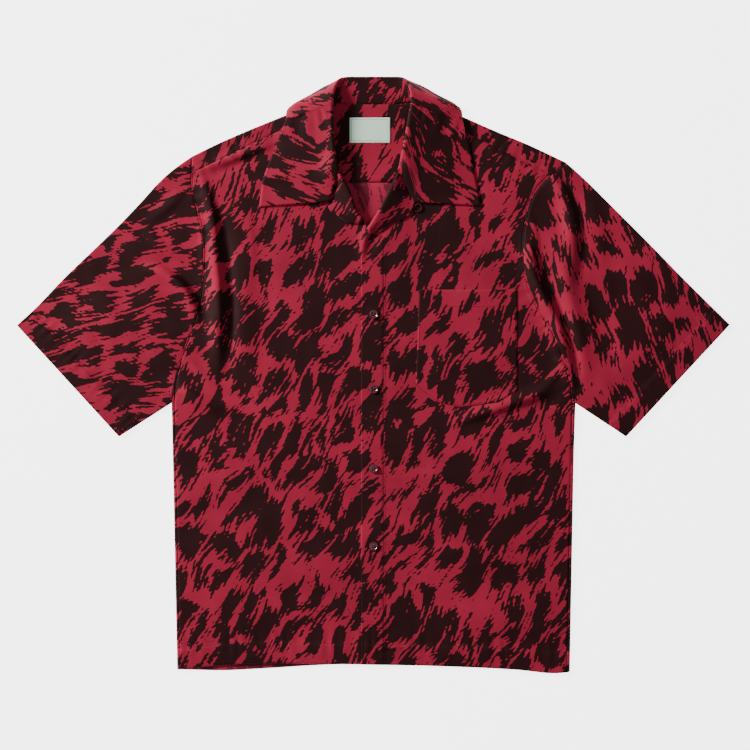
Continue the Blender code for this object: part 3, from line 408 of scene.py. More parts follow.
def waves(x, y, seed, size, height):
    """Gentle unevenness: waves about size long, in directions drawn from the seed."""
    drawn = np.random.RandomState(seed)
    total = np.zeros(np.shape(x))
    for _ in range(9):
        angle = drawn.uniform(0.0, math.pi)
        length = size * drawn.uniform(0.7, 1.5)
        start = drawn.uniform(0.0, 2 * math.pi)
        total += np.sin(2 * math.pi * (x * math.cos(angle) + y * math.sin(angle)) / length + start)
    return height * total / 3.0


print("a crease's crown: %.1f mm" % crease_height(CREASES[1], *np.array([[-205.0], [100.0]]))[0])

# %% [markdown]
# A sewn shirt is never smooth at its seams. A hem is folded twice, so its stitches press
# a line into it and the cloth beyond lies lower, and a seam that draws its two layers
# unevenly leaves small puckers. Both could be a bump in the material, but they are a
# millimetre high and catch the low light, so they are in the height field.


# %% Hems and puckers
def line_distance(line, x, y, reach):
    """Distance to a line of spots and how far along it the nearest is, within reach."""
    distance = np.full(np.shape(x), 1e3)
    walked_to = np.zeros(np.shape(x))
    near = ((x > line[:, 0].min() - reach) & (x < line[:, 0].max() + reach)
            & (y > line[:, 1].min() - reach) & (y < line[:, 1].max() + reach))
    if not near.any():
        return distance, walked_to
    step = np.linalg.norm(np.diff(line, axis=0), axis=1)
    place = np.concatenate([[0.0], np.cumsum(step)])
    away = np.hypot(x[near][None] - line[:, :1], y[near][None] - line[:, 1:])
    distance[near] = away.min(axis=0)
    walked_to[near] = place[away.argmin(axis=0)]
    return distance, walked_to


HEM_LINES = {side: smooth_curve(FRONT_HEM[side])(np.linspace(0, 1, 90)) for side in FACING}
CUFF_ENDS = {side: np.array([UNDERARM[side][-1], SLEEVE_FOLD[side][-1]]) for side in FACING}
Pucker = namedtuple("Pucker", "size height")    # millimetres from one to the next, and high
HEM_PUCKER, PLACKET_PUCKER, CUFF_PUCKER = Pucker(15.0, 0.28), Pucker(13.0, 0.26), Pucker(14.0, 0.3)
HEM_STEP, PLACKET_STEP, CUFF_STEP = 0.8, 0.75, 0.9      # how far the cloth drops past the fold
PUCKERED = [(smooth_curve(table[side])(np.linspace(0, 1, 70)), pucker)
            for table, pucker in ((ARMHOLE, Pucker(15.0, 0.42)), (YOKE_SEAM, Pucker(17.0, 0.30)))
            for side in FACING]
HEM_TOP = (-200.0, -100.0)     # the hem's relief is over by here
PLACKET_TOP = (160.0, 185.0)   # and the placket's by here
SLEEVE_FROM = 262.0            # only the sleeves lie further out than this
PRESS, PRESS_WIDE = 0.6, 1.3   # depth and half width of the line that stitches press in
DROP_WIDE, DROP_FADE = 2.0, 40.0    # the step past the fold: its width, and where it ends


def turned_edge(distance, stitch, step):
    """Relief of a turned edge: pressed in at its stitches and lower past the fold."""
    fold = stitch + PRESS
    past = ramp(distance, fold, fold + DROP_WIDE)
    past = past * (1 - ramp(distance, fold + DROP_WIDE, stitch + DROP_FADE))
    return -step * past - PRESS * np.exp(-((distance - stitch) / PRESS_WIDE) ** 2)


def ripple(distance, along, pucker):
    """Small uneven puckers that a seam draws in the cloth, dying away from it."""
    bend = along + 5.0 * np.sin(along / 23.0) + 3.0 * np.sin(along / 9.7)
    turns = np.sin(2 * math.pi * bend / pucker.size)
    return pucker.height * turns * np.exp(-((distance / pucker.size) ** 2))


def seam_relief(x, y):
    """The turned hems, cuffs and placket, and the puckers along the seams."""
    hem_y = np.where(x < 0.0, np.interp(x, *HEM_LINES[RIGHT][::-1].T),
                     np.interp(x, *HEM_LINES[LEFT].T))
    above = y - hem_y
    body = 1.0 - ramp(y, *HEM_TOP)
    relief = body * (turned_edge(above, HEM, HEM_STEP) + ripple(above - HEM, x, HEM_PUCKER))
    placket = 1.0 - ramp(y, *PLACKET_TOP)
    edge = FRONT_EDGE[LEFT][0][0]
    relief += placket * (x > edge - 0.1) * (
        turned_edge(x - edge, STITCH_X - edge, PLACKET_STEP)
        + ripple(x - STITCH_X - 4.0, y, PLACKET_PUCKER))
    for side in FACING:
        low, high = CUFF_ENDS[side]
        along = (high - low) / np.linalg.norm(high - low)
        away = np.abs((x - low[0]) * along[1] - (y - low[1]) * along[0])
        sleeve_here = x * FACING[side] > SLEEVE_FROM
        walked_to = (x - low[0]) * along[0] + (y - low[1]) * along[1]
        relief += sleeve_here * (turned_edge(away, HEM, CUFF_STEP)
                                 + ripple(away - HEM, walked_to, CUFF_PUCKER))
    for line, pucker in PUCKERED:
        relief += ripple(*line_distance(line, x, y, 2.5 * pucker.size), pucker)
    return relief


print("seams with puckers:", len(PUCKERED))

# %% [markdown]
# Everything above is now added up. The buttons and the loop are hard or lie flat, so the
# unevenness dies out round them. Towards the open neck the fronts climb, because their
# lapels roll there, and the left front lies on the right one along the placket.

# %% The upper layer's height
WAVES = ((3, 90.0, 0.42), (8, 34.0, 0.16))      # seed, size and height, in millimetres
BUTTON_CALM, LOOP_CALM = (6.0, 14.0), (8.0, 16.0)
WRAP_OUT, WRAP_UP = (16.0, 60.0), (200.0, 260.0)  # the overlap fades along x and along y


def loft(x, y):
    """Inner side of the upper layer above the table, at arrays of x and y."""
    x = np.asarray(x, float)
    y = np.asarray(y, float)
    shape = np.broadcast(x, y).shape
    x = np.broadcast_to(x, shape).reshape(1, -1)
    y = np.broadcast_to(y, shape).reshape(1, -1)
    height = np.full(x.shape, LOFT)
    for swell in SWELLS:
        away = ((x - swell.x) / swell.reach_x) ** 2 + ((y - swell.y) / swell.reach_y) ** 2
        height += swell.height * np.exp(-away)
    for crease in CREASES:
        height += crease_height(crease, x, y)
    uneven = sum(waves(x, y, *wave) for wave in WAVES) + seam_relief(x, y)
    for button_y in BUTTON_ROWS:
        uneven = uneven * ramp(np.hypot(x - BUTTON_X, y - button_y), *BUTTON_CALM)
    uneven = uneven * ramp(np.hypot(x - LOOP_AT[0], y - LOOP_AT[1]), *LOOP_CALM)
    height = height + uneven
    return (np.maximum(height, LOFT - TROUGH) + lift(x, y)).reshape(shape)


def neck_rise(x, y):
    """The fronts climb this much towards the lapel's roll, so that they carry it."""
    x = np.asarray(x, float)
    rise = np.zeros(x.shape)
    for side in (RIGHT, LEFT):
        roll = smooth_curve(LAPEL_ROLL[side])
        for share in np.linspace(0.0, 1.0, 15):
            spot = roll(share)[0]
            near = np.exp(-(((x - spot[0]) ** 2 + (y - spot[1]) ** 2) / LAPEL_REACH**2))
            same = ramp(x * FACING[side], -14.0, 6.0)
            climb = LAPEL_RISE * (1.0 - LAPEL_RISE_LOSS * share)
            rise = np.maximum(rise, climb * near * same)
    return rise


def front_loft(side, x, y):
    """Inner side of a front panel. The wearer's left front lies on the right one."""
    height = loft(x, y) + neck_rise(x, y)
    if side == LEFT:
        height = height + WRAP * (1.0 - ramp(x, *WRAP_OUT)) * (1.0 - ramp(y, *WRAP_UP))
    return height


def front_top(side, x, y):
    """Outer side of a front panel."""
    return front_loft(side, x, y) + CLOTH


print("upper layer at the chest: %.1f mm" % front_top(LEFT, 120.0, 60.0))

# %% [markdown]
# Colours are given as sRGB hex values, as a dye card has them. Blender's sockets want
# linear light, so one function turns them. Materials could be wired by hand in the
# shader editor; in a script one small function adds a node with its settings and links,
# and every material below is a short list of such calls.

# %% Colour and node helpers
def dye(hex_value):
    """An sRGB hex colour as linear red, green, blue and alpha."""
    parts = [int(hex_value[i:i + 2], 16) / 255.0 for i in (1, 3, 5)]
    linear = [p / 12.92 if p <= 0.04045 else ((p + 0.055) / 1.055) ** 2.4 for p in parts]
    return (*linear, 1.0)


def add(tree, kind, inputs=None, **settings):
    """Adds a node. inputs gives each socket a value, or the output that it reads."""
    made = tree.nodes.new(kind)
    for key, value in settings.items():
        setattr(made, key, value)
    for socket, value in (inputs or {}).items():
        if isinstance(value, bpy.types.NodeSocket):
            tree.links.new(value, made.inputs[socket])
        else:
            made.inputs[socket].default_value = value
    return made


# %% [markdown]
# The cloth is viscose in a plain weave, dyed crimson and screen printed in near-black.
# To the eye it is soft and matt, with only a faint sheen where it turns away, and the
# print shows paler and redder on its wrong side. An image could carry the print, but
# node textures need no file and stay sharp. The marks are generic: ragged blots that
# lean about 30 degrees from the grain, with ends combed out as a dry brush leaves them.
# They are drawn in the cut of the cloth, which each piece keeps in a UV map in metres,
# so the print turns with the sleeves and breaks at every seam, as on a sewn shirt.

# %% Sizes of the print and the weave, in metres
PRINT_LEAN = math.radians(31.0)
SPOT_WIDE, SPOT_LONG = 0.021, 0.040     # a brush mark, across and along its lean
SLIT_WIDE, SLIT_LONG = 0.0036, 0.024    # bare slits where the brush ran dry
DRIFT = 0.075                           # where the marks crowd and where they thin out
TOOTH_WIDE, TOOTH_LONG = 0.0055, 0.0078 # the scalloped rim of a mark
BARB_STEP = 0.0046                      # from one barb of the ragged edge to the next
BARB_TURN = math.radians(38.0)
STRAY = 0.06                            # the lean itself strays over this distance
SHARE = dict(cells=1.25, blots=0.80, slits=0.66, drifts=0.55, teeth=0.17, barbs=0.10)
INK_FROM, INK_TO = 0.146, 0.158         # the sum at which ink starts and is full
FADE = 0.12                             # the dye takes unevenly over a hand's breadth
SLUB_THICK, SLUB_LONG = 0.0018, 0.016   # the thick places of a spun thread
THREAD = 0.0012                         # real threads are 0.3 mm apart: coarser, to show
WAVE_TURNS = 0.314                      # a wave texture's period, in metres, at scale 1
# Where each piece was cut from the cloth, in millimetres, so that their marks differ.
CUT_AT = {
    "back": (910.0, 340.0), "yoke": (1630.0, -217.0), "facing": (2330.0, 500.0),
    "sleeve_right": (2200.0, 0.0), "sleeve_left": (4000.0, 0.0), "collar": (4400.0, 0.0),
    "lapel_right": (5000.0, 120.0), "lapel_left": (5600.0, 120.0), "pocket": (6230.0, 77.0),
}
print("marks of %.0f by %.0f mm" % (1e3 * SPOT_WIDE, 1e3 * SPOT_LONG))

# %% Printed viscose


def inked_share(tree, cut):
    """The print itself: 1 where there is ink and 0 on bare cloth."""
    # Where on the cut cloth: turned to the print's lean, then a little bent.
    leaned = add(tree, "ShaderNodeMapping", {"Vector": cut, "Rotation": (0, 0, PRINT_LEAN)})
    stray = add(tree, "ShaderNodeTexNoise", {"Vector": leaned.outputs[0], "Scale": 1 / STRAY,
                "Detail": 0.0}, noise_dimensions="2D")
    pull = add(tree, "ShaderNodeVectorMath", {0: stray.outputs["Color"], 1: (0.5, 0.5, 0.5)},
               operation="SUBTRACT")
    bent = add(tree, "ShaderNodeVectorMath", {0: pull.outputs[0], 1: (0.018, 0.02, 0.0),
               2: leaned.outputs[0]}, operation="MULTIPLY_ADD").outputs[0]
    sized = {}
    for use, wide, long in (("spot", SPOT_WIDE, SPOT_LONG), ("slit", SLIT_WIDE, SLIT_LONG),
                            ("tooth", TOOTH_WIDE, TOOTH_LONG)):
        sized[use] = add(tree, "ShaderNodeMapping",
                         {"Vector": bent, "Scale": (1 / wide, 1 / long, 1.0)}).outputs[0]

    # Marks in cells, broken up by blots, slits, teeth and barbs.
    cells = add(tree, "ShaderNodeTexVoronoi", {"Vector": sized["spot"], "Scale": 0.62},
                voronoi_dimensions="2D", feature="DISTANCE_TO_EDGE")
    blots = add(tree, "ShaderNodeTexNoise", {"Vector": sized["spot"], "Scale": 1.2,
                "Detail": 2.2}, noise_dimensions="2D")
    drifts = add(tree, "ShaderNodeTexNoise", {"Vector": bent, "Scale": 1 / DRIFT, "Detail": 0.0},
                 noise_dimensions="2D")
    slits = add(tree, "ShaderNodeTexNoise", {"Vector": sized["slit"], "Scale": 1.0,
                "Detail": 0.0}, noise_dimensions="2D")
    teeth = add(tree, "ShaderNodeTexVoronoi", {"Vector": sized["tooth"], "Scale": 1.0},
                voronoi_dimensions="2D", feature="F1")
    barb_at = add(tree, "ShaderNodeMapping", {"Vector": bent, "Rotation": (0, 0, BARB_TURN)})
    barbs = add(tree, "ShaderNodeTexWave", {"Vector": barb_at.outputs[0],
                "Scale": WAVE_TURNS / BARB_STEP, "Distortion": 5.0, "Detail": 1.0,
                "Detail Scale": 0.35}, bands_direction="X", wave_profile="TRI")
    total = add(tree, "ShaderNodeMath", {0: cells.outputs["Distance"], 1: SHARE["cells"], 2: 0.0},
                operation="MULTIPLY_ADD")
    for source, middle, share in (
        (blots.outputs[0], 0.5, SHARE["blots"]), (slits.outputs[0], 0.5, SHARE["slits"]),
        (drifts.outputs[0], 0.5, SHARE["drifts"]),
        (teeth.outputs["Distance"], 0.45, SHARE["teeth"]),
        (barbs.outputs["Fac"], 0.5, SHARE["barbs"]),
    ):
        centred = add(tree, "ShaderNodeMath", {0: source, 1: middle}, operation="SUBTRACT")
        total = add(tree, "ShaderNodeMath", {0: centred.outputs[0], 1: share,
                    2: total.outputs[0]}, operation="MULTIPLY_ADD")
    inked = add(tree, "ShaderNodeMapRange", {"Value": total.outputs[0], "From Min": INK_FROM,
                "From Max": INK_TO}, clamp=True)
    return inked.outputs[0]


def printed_cloth(name, ground, mark, sheen):
    """Printed viscose: ground is the dyed colour and mark the printed one."""
    material = bpy.data.materials.new(name)
    material.use_nodes = True
    tree = material.node_tree
    shader = tree.nodes["Principled BSDF"]
    cut = add(tree, "ShaderNodeUVMap", uv_map="cut").outputs["UV"]
    inked = inked_share(tree, cut)
    colour = add(tree, "ShaderNodeMix", {"Factor": inked, 6: ground, 7: mark}, data_type="RGBA")

    # The dye takes a little unevenly, over a hand's breadth and from thread to thread.
    fade = add(tree, "ShaderNodeTexNoise", {"Vector": cut, "Scale": 1 / FADE, "Detail": 3.0},
               noise_dimensions="2D")
    slub = add(tree, "ShaderNodeMapping",
               {"Vector": cut, "Scale": (1 / SLUB_THICK, 1 / SLUB_LONG, 1.0)})
    threads = add(tree, "ShaderNodeTexNoise", {"Vector": slub.outputs[0], "Detail": 2.0},
                  noise_dimensions="2D")
    both = add(tree, "ShaderNodeMath", {0: threads.outputs[0], 1: 0.8, 2: fade.outputs[0]},
               operation="MULTIPLY_ADD")
    uneven = add(tree, "ShaderNodeMapRange", {"Value": both.outputs[0], "From Min": 0.6,
                 "From Max": 1.2, "To Min": 0.88, "To Max": 1.12})
    shade = add(tree, "ShaderNodeHueSaturation", {"Color": colour.outputs[2],
                "Value": uneven.outputs[0]})

    # Warp and weft cross in a plain weave. They and the slubs give the relief.
    warp, weft = (
        add(tree, "ShaderNodeTexWave", {"Vector": cut, "Scale": WAVE_TURNS / THREAD,
            "Distortion": 0.6}, bands_direction=way).outputs["Fac"] for way in "XY")
    weave = add(tree, "ShaderNodeMath", {0: warp, 1: weft}, operation="MULTIPLY")
    relief = add(tree, "ShaderNodeMath", {0: weave.outputs[0], 1: 0.35,
                 2: threads.outputs[0]}, operation="MULTIPLY_ADD")
    bump = add(tree, "ShaderNodeBump", {"Height": relief.outputs[0], "Strength": 0.3,
               "Distance": 0.0003})
    tree.links.new(shade.outputs[0], shader.inputs["Base Color"])
    tree.links.new(bump.outputs[0], shader.inputs["Normal"])
    shader.inputs["Roughness"].default_value = 0.68
    shader.inputs["IOR"].default_value = 1.5
    shader.inputs["Specular IOR Level"].default_value = 0.14
    shader.inputs["Sheen Weight"].default_value = sheen
    shader.inputs["Sheen Roughness"].default_value = 0.4
    return material


viscose = printed_cloth("printed_viscose", dye("#A01F3A"), dye("#2B090C"), 0.04)
viscose_back = printed_cloth("printed_viscose_wrong_side", dye("#A62842"), dye("#6C1C2F"), 0.04)
print("nodes in the cloth's material:", len(viscose.node_tree.nodes))

# %% [markdown]
# A cloth piece is a thin shell. A grid of points gives its inner side; the outer side is
# the same grid moved out by the cloth's thickness, and the edge between them is rounded
# as a turned or folded edge is. A Solidify modifier could do this, but it would know
# nothing of the cut: here each corner keeps its place in the cut cloth, and the right
# side and the wrong side get their own materials. These helpers find the cells, their
# normals and the rim.


# %% Helpers for shells
def unit(vectors):
    """The vectors with length one, along the last axis."""
    return vectors / np.maximum(np.linalg.norm(vectors, axis=-1, keepdims=True), 1e-9)


def four_corners(row, column, beside, wide):
    """The numbers of each cell's corners, in a grid that is wide points across."""
    return np.stack([row * wide + column, row * wide + beside,
                     (row + 1) * wide + beside, (row + 1) * wide + column], axis=1)


def point_normals(points, cells):
    """The mean normal of the cells round each point, and zero where there is no cell."""
    across = unit(np.cross(points[cells[:, 2]] - points[cells[:, 0]],
                           points[cells[:, 3]] - points[cells[:, 1]]))
    normal = np.zeros_like(points)
    for corner in range(4):
        np.add.at(normal, cells[:, corner], across)
    return unit(normal)


def open_rim(cells):
    """The edges that only one cell has, each as its two points in that cell's order."""
    starts = cells.ravel()
    ends = np.roll(cells, -1, axis=1).ravel()
    known = set(zip(ends.tolist(), starts.tolist()))
    rim = [(a, b) for a, b in zip(starts.tolist(), ends.tolist()) if (a, b) not in known]
    return np.array(rim).reshape(-1, 2)


def off_the_edge(points, normal, rim, rim_points):
    """At each rim point, the way out of the cloth, in the cloth's own plane."""
    sideways = unit(np.cross(points[rim[:, 1]] - points[rim[:, 0]], normal[rim[:, 0]]))
    away = np.zeros_like(points)
    for end in range(2):
        np.add.at(away, rim[:, end], sideways)
    return unit(away[rim_points])


def steps(*stretches):
    """Shares from 0 to 1: each stretch is (end, count) and is cut into equal steps."""
    shares, start = [0.0], 0.0
    for end, count in stretches:
        shares.extend(np.linspace(start, end, count + 1)[1:])
        start = end
    return np.array(shares)


print("a grid's steps:", steps((0.5, 2), (1.0, 4)))

# %% [markdown]
# The shell itself. Its mesh could come from bmesh, one face at a time; with a hundred
# thousand faces, arrays are quicker. The edge bulges by 0.4 of the thickness, which
# rounds it. It prints the flat size of the cut and the area of the inner side.

# %% Cloth shells
EDGE_BULGE = 0.4


def cloth_shell(name, points, cut, thickness, outward, ring=False, keep=None,
                right=viscose, wrong=viscose_back, both_right=False):
    """A closed shell from rows by columns of points in millimetres, inner side first."""
    rows, columns = points.shape[:2]
    if keep is None:
        keep = np.ones((rows - 1, columns if ring else columns - 1), bool)
    row, column = np.nonzero(keep)
    cells = four_corners(row, column, (column + 1) % columns, columns)
    inner = points.reshape(-1, 3)
    normal = point_normals(inner, cells)
    used = np.flatnonzero(np.linalg.norm(normal, axis=1) > 0.5)
    number = np.full(rows * columns, -1)
    number[used] = np.arange(len(used))
    cells = number[cells]
    inner, normal = inner[used], normal[used]
    outer = inner + outward * thickness * normal
    rim = open_rim(cells)
    rim_points = np.unique(rim)
    away = off_the_edge(inner, normal, rim, rim_points)
    middle = (inner[rim_points] + outer[rim_points]) / 2.0 + away * thickness * EDGE_BULGE

    count = len(used)
    third = np.full(count, -1)
    third[rim_points] = 2 * count + np.arange(len(rim_points))
    a, b = rim.T
    faces = np.concatenate([
        cells[:, ::-1], cells + count,
        np.stack([a, b, third[b], third[a]], axis=1),
        np.stack([third[a], third[b], b + count, a + count], axis=1),
    ])
    vertices = np.concatenate([inner, outer, middle]) * MM

    cell_cut = cut.reshape(-1, 2)[four_corners(row, column, column + 1, cut.shape[1])]
    point_cut = np.zeros((count, 2))
    point_cut[cells.ravel()] = cell_cut.reshape(-1, 2)
    rim_cut = point_cut[np.stack([a, b, b, a], axis=1).ravel()]
    loops = np.concatenate([cell_cut[:, ::-1].reshape(-1, 2), cell_cut.reshape(-1, 2),
                            rim_cut, rim_cut]) * MM

    mesh = bpy.data.meshes.new(name)
    mesh.from_pydata(vertices.tolist(), [], faces.tolist())
    layer = mesh.uv_layers.new(name="cut")
    layer.data.foreach_set("uv", loops.ravel())
    mesh.materials.append(right)
    mesh.materials.append(wrong)
    side = np.zeros(len(faces), np.int32)
    if not both_right:
        side[: len(cells)] = 1
    mesh.polygons.foreach_set("material_index", side)
    mesh.shade_smooth()
    mesh.update()
    if outward < 0:
        mesh.flip_normals()
    thing = bpy.data.objects.new(name, mesh)
    bpy.context.scene.collection.objects.link(thing)
    diagonals = np.cross(inner[cells[:, 2]] - inner[cells[:, 0]],
                         inner[cells[:, 3]] - inner[cells[:, 1]])
    area = np.linalg.norm(diagonals, axis=1).sum() / 2.0
    size = np.ptp(cut.reshape(-1, 2), axis=0)
    print(f"{name}: {len(faces) * 2} triangles, {size[0]:.0f} by {size[1]:.0f} mm, "
          f"{area * 1e-6:.4f} square metres")
    return thing


# %% [markdown]
# A front is cut flat: hem, side seam, armhole, shoulder seam, neck and a straight free
# edge. A plane could be cut to that outline with a Boolean, but its triangles would then
# run every way across the creases. A patch between four curves has rows that follow the
# edges, so it can be finer where the hem and the placket are stitched. At the side seam
# the front curls down to meet the back, and there the columns come close together.

# %% Fronts
ARMPIT_SHARE = 0.53    # share of a front's height at which the armhole starts
FRONT_ROWS_UP = ((0.03, 12), (0.045, 10), (ARMPIT_SHARE, 118), (1.0, 112))
FRONT_COLUMNS = ((0.02, 5), (0.1, 14), (0.13, 12), (1.0, 112))
CURL_COLUMNS = (1.0, 0.7, 0.45, 0.25, 0.12, 0.04, 0.0)   # shares of CURL from the edge
CURL_FREE = (-60.0, -30.0)     # above this the side edge is the armhole and doesn't curl


def armhole_curve(side):
    return smooth_curve(ARMHOLE[side])


def back_share(side):
    """Share of the armhole at which the back panel meets the yoke."""
    return share_at(armhole_curve(side), 1, BACK_SEAM_Y)


def panel_side(side, along, corner, last=1.0):
    """Side seam up to the armpit, at the share corner, then the armhole up to last."""
    low = along <= corner
    seam = smooth_curve(SIDE_SEAM[side])(along[low] / corner)
    return np.vstack([seam, armhole_curve(side)((along[~low] - corner) / (1.0 - corner) * last)])


def front_panel(side):
    """One front: hem, side seam, armhole, forward yoke seam, neck and free edge."""
    out = FACING[side]
    along = steps(*FRONT_ROWS_UP)
    across = steps(*FRONT_COLUMNS)
    outer = panel_side(side, along, ARMPIT_SHARE)
    outer[:, 0] -= out * CLOTH * (1.0 - ramp(outer[:, 1], -37.0, -8.0))
    top = smooth_curve(YOKE_SEAM[side])(across) - np.array([0.0, SEAM])
    inner = smooth_curve(FRONT_EDGE[side])(along)
    inner[-1] = top[0]
    outer[-1] = top[-1]
    hem = smooth_curve(FRONT_HEM[side])(across)
    hem[-1, 0] = outer[0, 0]
    plan = crossed(hem, top, inner, outer, across, along)
    inward = plan[:, -2] - outer
    inward /= np.linalg.norm(inward, axis=1)[:, None]
    columns = [outer + inward * CURL * share for share in CURL_COLUMNS]
    plan = np.concatenate([plan[:, :-1], np.stack(columns, axis=1)], axis=1)
    x, y = plan[..., 0], plan[..., 1]
    height = front_loft(side, x, y)
    edge_x = outer[:, 0][:, None]
    away = np.clip(np.abs(edge_x - x) / CURL, 0.0, 1.0)
    round_edge = np.sqrt(np.clip(1.0 - (1.0 - away) ** 2, 0.0, 1.0))
    seam_height = CLOTH + 2 * GAP
    curl = 1.0 - ramp(y, *CURL_FREE)
    curled = seam_height + (height - seam_height) * round_edge
    height = height * (1.0 - curl) + curled * curl
    return cloth_shell("front_" + side + "_cloth", with_height(plan, height), plan, CLOTH,
                       outward=out)


fronts = {side: front_panel(side) for side in (RIGHT, LEFT)}

# %% [markdown]
# The back lies flat on the table, under the fronts. Only its hem and, through the neck,
# a little of its wrong side show, but the part is seen from all sides. It could be a
# plain cut-out, but made as the fronts are it shares their side seams and armholes. Its
# print is mirrored in the cut, because its right side faces down.

# %% Back
BACK_ARMPIT = 0.61     # share of the back's height at which the armhole starts
BACK_ROWS_UP = ((0.03, 10), (0.045, 6), (BACK_ARMPIT, 60), (1.0, 45))


def back_panel():
    """The back, flat on the table from the hem to the straight yoke seam."""
    along = steps(*BACK_ROWS_UP)
    across = steps((1.0, 100))
    sides = [panel_side(side, along, BACK_ARMPIT, back_share(side)) for side in (RIGHT, LEFT)]
    hem = smooth_curve(BACK_HEM)(across)
    top = np.linspace(sides[0][-1], sides[1][-1], len(across))
    top[:, 1] = BACK_SEAM_Y
    sides[0][-1] = top[0]
    sides[1][-1] = top[-1]
    plan = crossed(hem, top, sides[0], sides[1], across, along)
    height = np.full(plan.shape[:2], CLOTH)
    cut = plan * np.array([-1.0, 1.0]) + CUT_AT["back"]
    return cloth_shell("back_cloth", with_height(plan, height), cut, CLOTH, outward=-1.0)


back = back_panel()

# %% [markdown]
# The yoke is one piece of cloth that lies across the back, folds over both shoulders and
# is sewn to the fronts a little below the fold. A second yoke lines it inside the neck.
# It could be a flat piece bent by a modifier, but each line of it folds at another place.
# So it is made line by line: flat, round the fold, then over the top.


# %% Yoke
FLAT_ROWS, FOLD_ROWS, FRONT_ROWS = 30, 12, 14    # rows of points on the back, fold and front
SHOULDER_LINES, NECK_LINES = 64, 38              # lines on each shoulder, and along the neck


def neck_seam(x):
    """The back neck seam rises a little towards the shoulders."""
    share = np.where(x < 0, x / SHOULDER[RIGHT][0][0], x / SHOULDER[LEFT][0][0])
    return NECK_SEAM_Y + (NECK_CORNER_Y - 2.0 * CLOTH - NECK_SEAM_Y) * share**4


def side_column(base, shoulder, forward, sink):
    """One line of the yoke from the back seam over the shoulder's fold to the front."""
    toward = (shoulder - base) / np.linalg.norm(shoulder - base)
    low = float(lift(*shoulder)) + CLOTH + sink
    high = float(loft(*shoulder)) - sink
    radius = (high - low) / 2.0
    centre = shoulder - toward * (CLOTH + sink + radius)
    share = np.linspace(0.0, 1.0, FLAT_ROWS)[:, None]
    spots = base + share * (centre - base)
    column = [with_height(spots, lift(spots[:, 0], spots[:, 1]) + CLOTH + sink)]
    turn = np.radians(np.linspace(-90.0, 90.0, FOLD_ROWS + 1)[1:])
    spots = centre + toward * (radius * np.cos(turn))[:, None]
    column.append(with_height(spots, (high + low) / 2 + radius * np.sin(turn)))
    share = np.linspace(0.0, 1.0, FRONT_ROWS + 1)[1:, None]
    spots = centre + share * (forward - centre)
    column.append(with_height(spots, loft(spots[:, 0], spots[:, 1]) - sink))
    return np.concatenate(column)


def yoke_grid(sink):
    """The yoke's inner side, moved into the hollow by sink: rows run from back to front."""
    columns, keep_front = [], []
    shares = np.linspace(0.0, 1.0, SHOULDER_LINES)
    lines = {}
    for side in (RIGHT, LEFT):
        end_x = armhole_curve(side)(back_share(side))[0, 0]
        base = np.stack([np.linspace(SHOULDER[side][0][0], end_x, SHOULDER_LINES),
                         np.full(SHOULDER_LINES, BACK_SEAM_Y + SEAM)], axis=1)
        lines[side] = list(zip(base, smooth_curve(SHOULDER[side])(shares),
                               smooth_curve(YOKE_SEAM[side])(shares)))
    for line in lines[RIGHT][::-1]:
        columns.append(side_column(*line, sink))
        keep_front.append(True)
    keep_front[-1] = False
    low = BACK_SEAM_Y + SEAM
    for x in np.linspace(SHOULDER[RIGHT][0][0], SHOULDER[LEFT][0][0], NECK_LINES)[1:-1]:
        y = low + np.linspace(0.0, 1.0, FLAT_ROWS) * (neck_seam(x) - low)
        spots = np.stack([np.full(FLAT_ROWS, x), y], axis=1)
        column = with_height(spots, lift(spots[:, 0], spots[:, 1]) + CLOTH + sink)
        columns.append(np.concatenate([column, np.repeat(column[-1:], FOLD_ROWS + FRONT_ROWS, 0)]))
        keep_front.append(False)
    for line in lines[LEFT]:
        columns.append(side_column(*line, sink))
        keep_front.append(True)
    points = np.array(columns).transpose(1, 0, 2)
    keep = np.ones((points.shape[0] - 1, points.shape[1] - 1), bool)
    keep[FLAT_ROWS - 1:, :] = np.array(keep_front[:-1])[None, :]
    return points, keep


def walked(points):
    """How far each point is along its column, in millimetres: the cloth's own length."""
    step = np.linalg.norm(np.diff(points, axis=0), axis=2)
    return np.concatenate([np.zeros((1, points.shape[1])), np.cumsum(step, axis=0)])


def yoke():
    """The outer yoke."""
    points, keep = yoke_grid(0.0)
    cut = np.stack([-points[..., 0], walked(points)], axis=2) + CUT_AT["yoke"]
    return cloth_shell("yoke_cloth", points, cut, CLOTH, outward=-1.0, keep=keep)


def yoke_facing():
    """The inner yoke, whose printed side shows inside the neck."""
    points, _ = yoke_grid(GAP)
    points = points[:FLAT_ROWS]
    cut = points[..., :2] + CUT_AT["facing"]
    return cloth_shell("yoke_facing_cloth", points, cut, CLOTH, outward=1.0)


outer_yoke = yoke()
inner_yoke = yoke_facing()

# %% [markdown]
# A sleeve is a tube from the armhole to the cuff, pressed flat along the shoulder line
# and the underarm. A round tube could be flattened by a cloth simulation, but then its
# folds wander. Here each row is a closed ring: the lower layer on the table, half a turn
# at the shoulder fold, the upper layer on the height field, half a turn at the underarm.
# Its print follows the sleeve's own grain, so it leans another way than the body's.


# %% Sleeves
SLEEVE_ROWS = ((0.84, 84), (0.9, 16), (1.0, 20))    # finer where the cuff is stitched
LOWER_COLUMNS, UPPER_COLUMNS = 60, 100
FOLD_TURN = np.radians([-67.0, -45.0, -22.0, 0.0, 22.0, 45.0, 67.0])
FOLD_MIDDLE = len(FOLD_TURN) // 2
FOLD_IN = 4.0          # the fold takes the height of the cloth this far in


def whole_share(side):
    """Share of the sleeve's armhole end that the panels' armhole curve takes."""
    spots = np.array(ARMHOLE[side] + [SHOULDER_POINT[side]], float)
    step = np.linalg.norm(np.diff(spots, axis=0), axis=1)
    return float(step[:-1].sum() / step.sum())


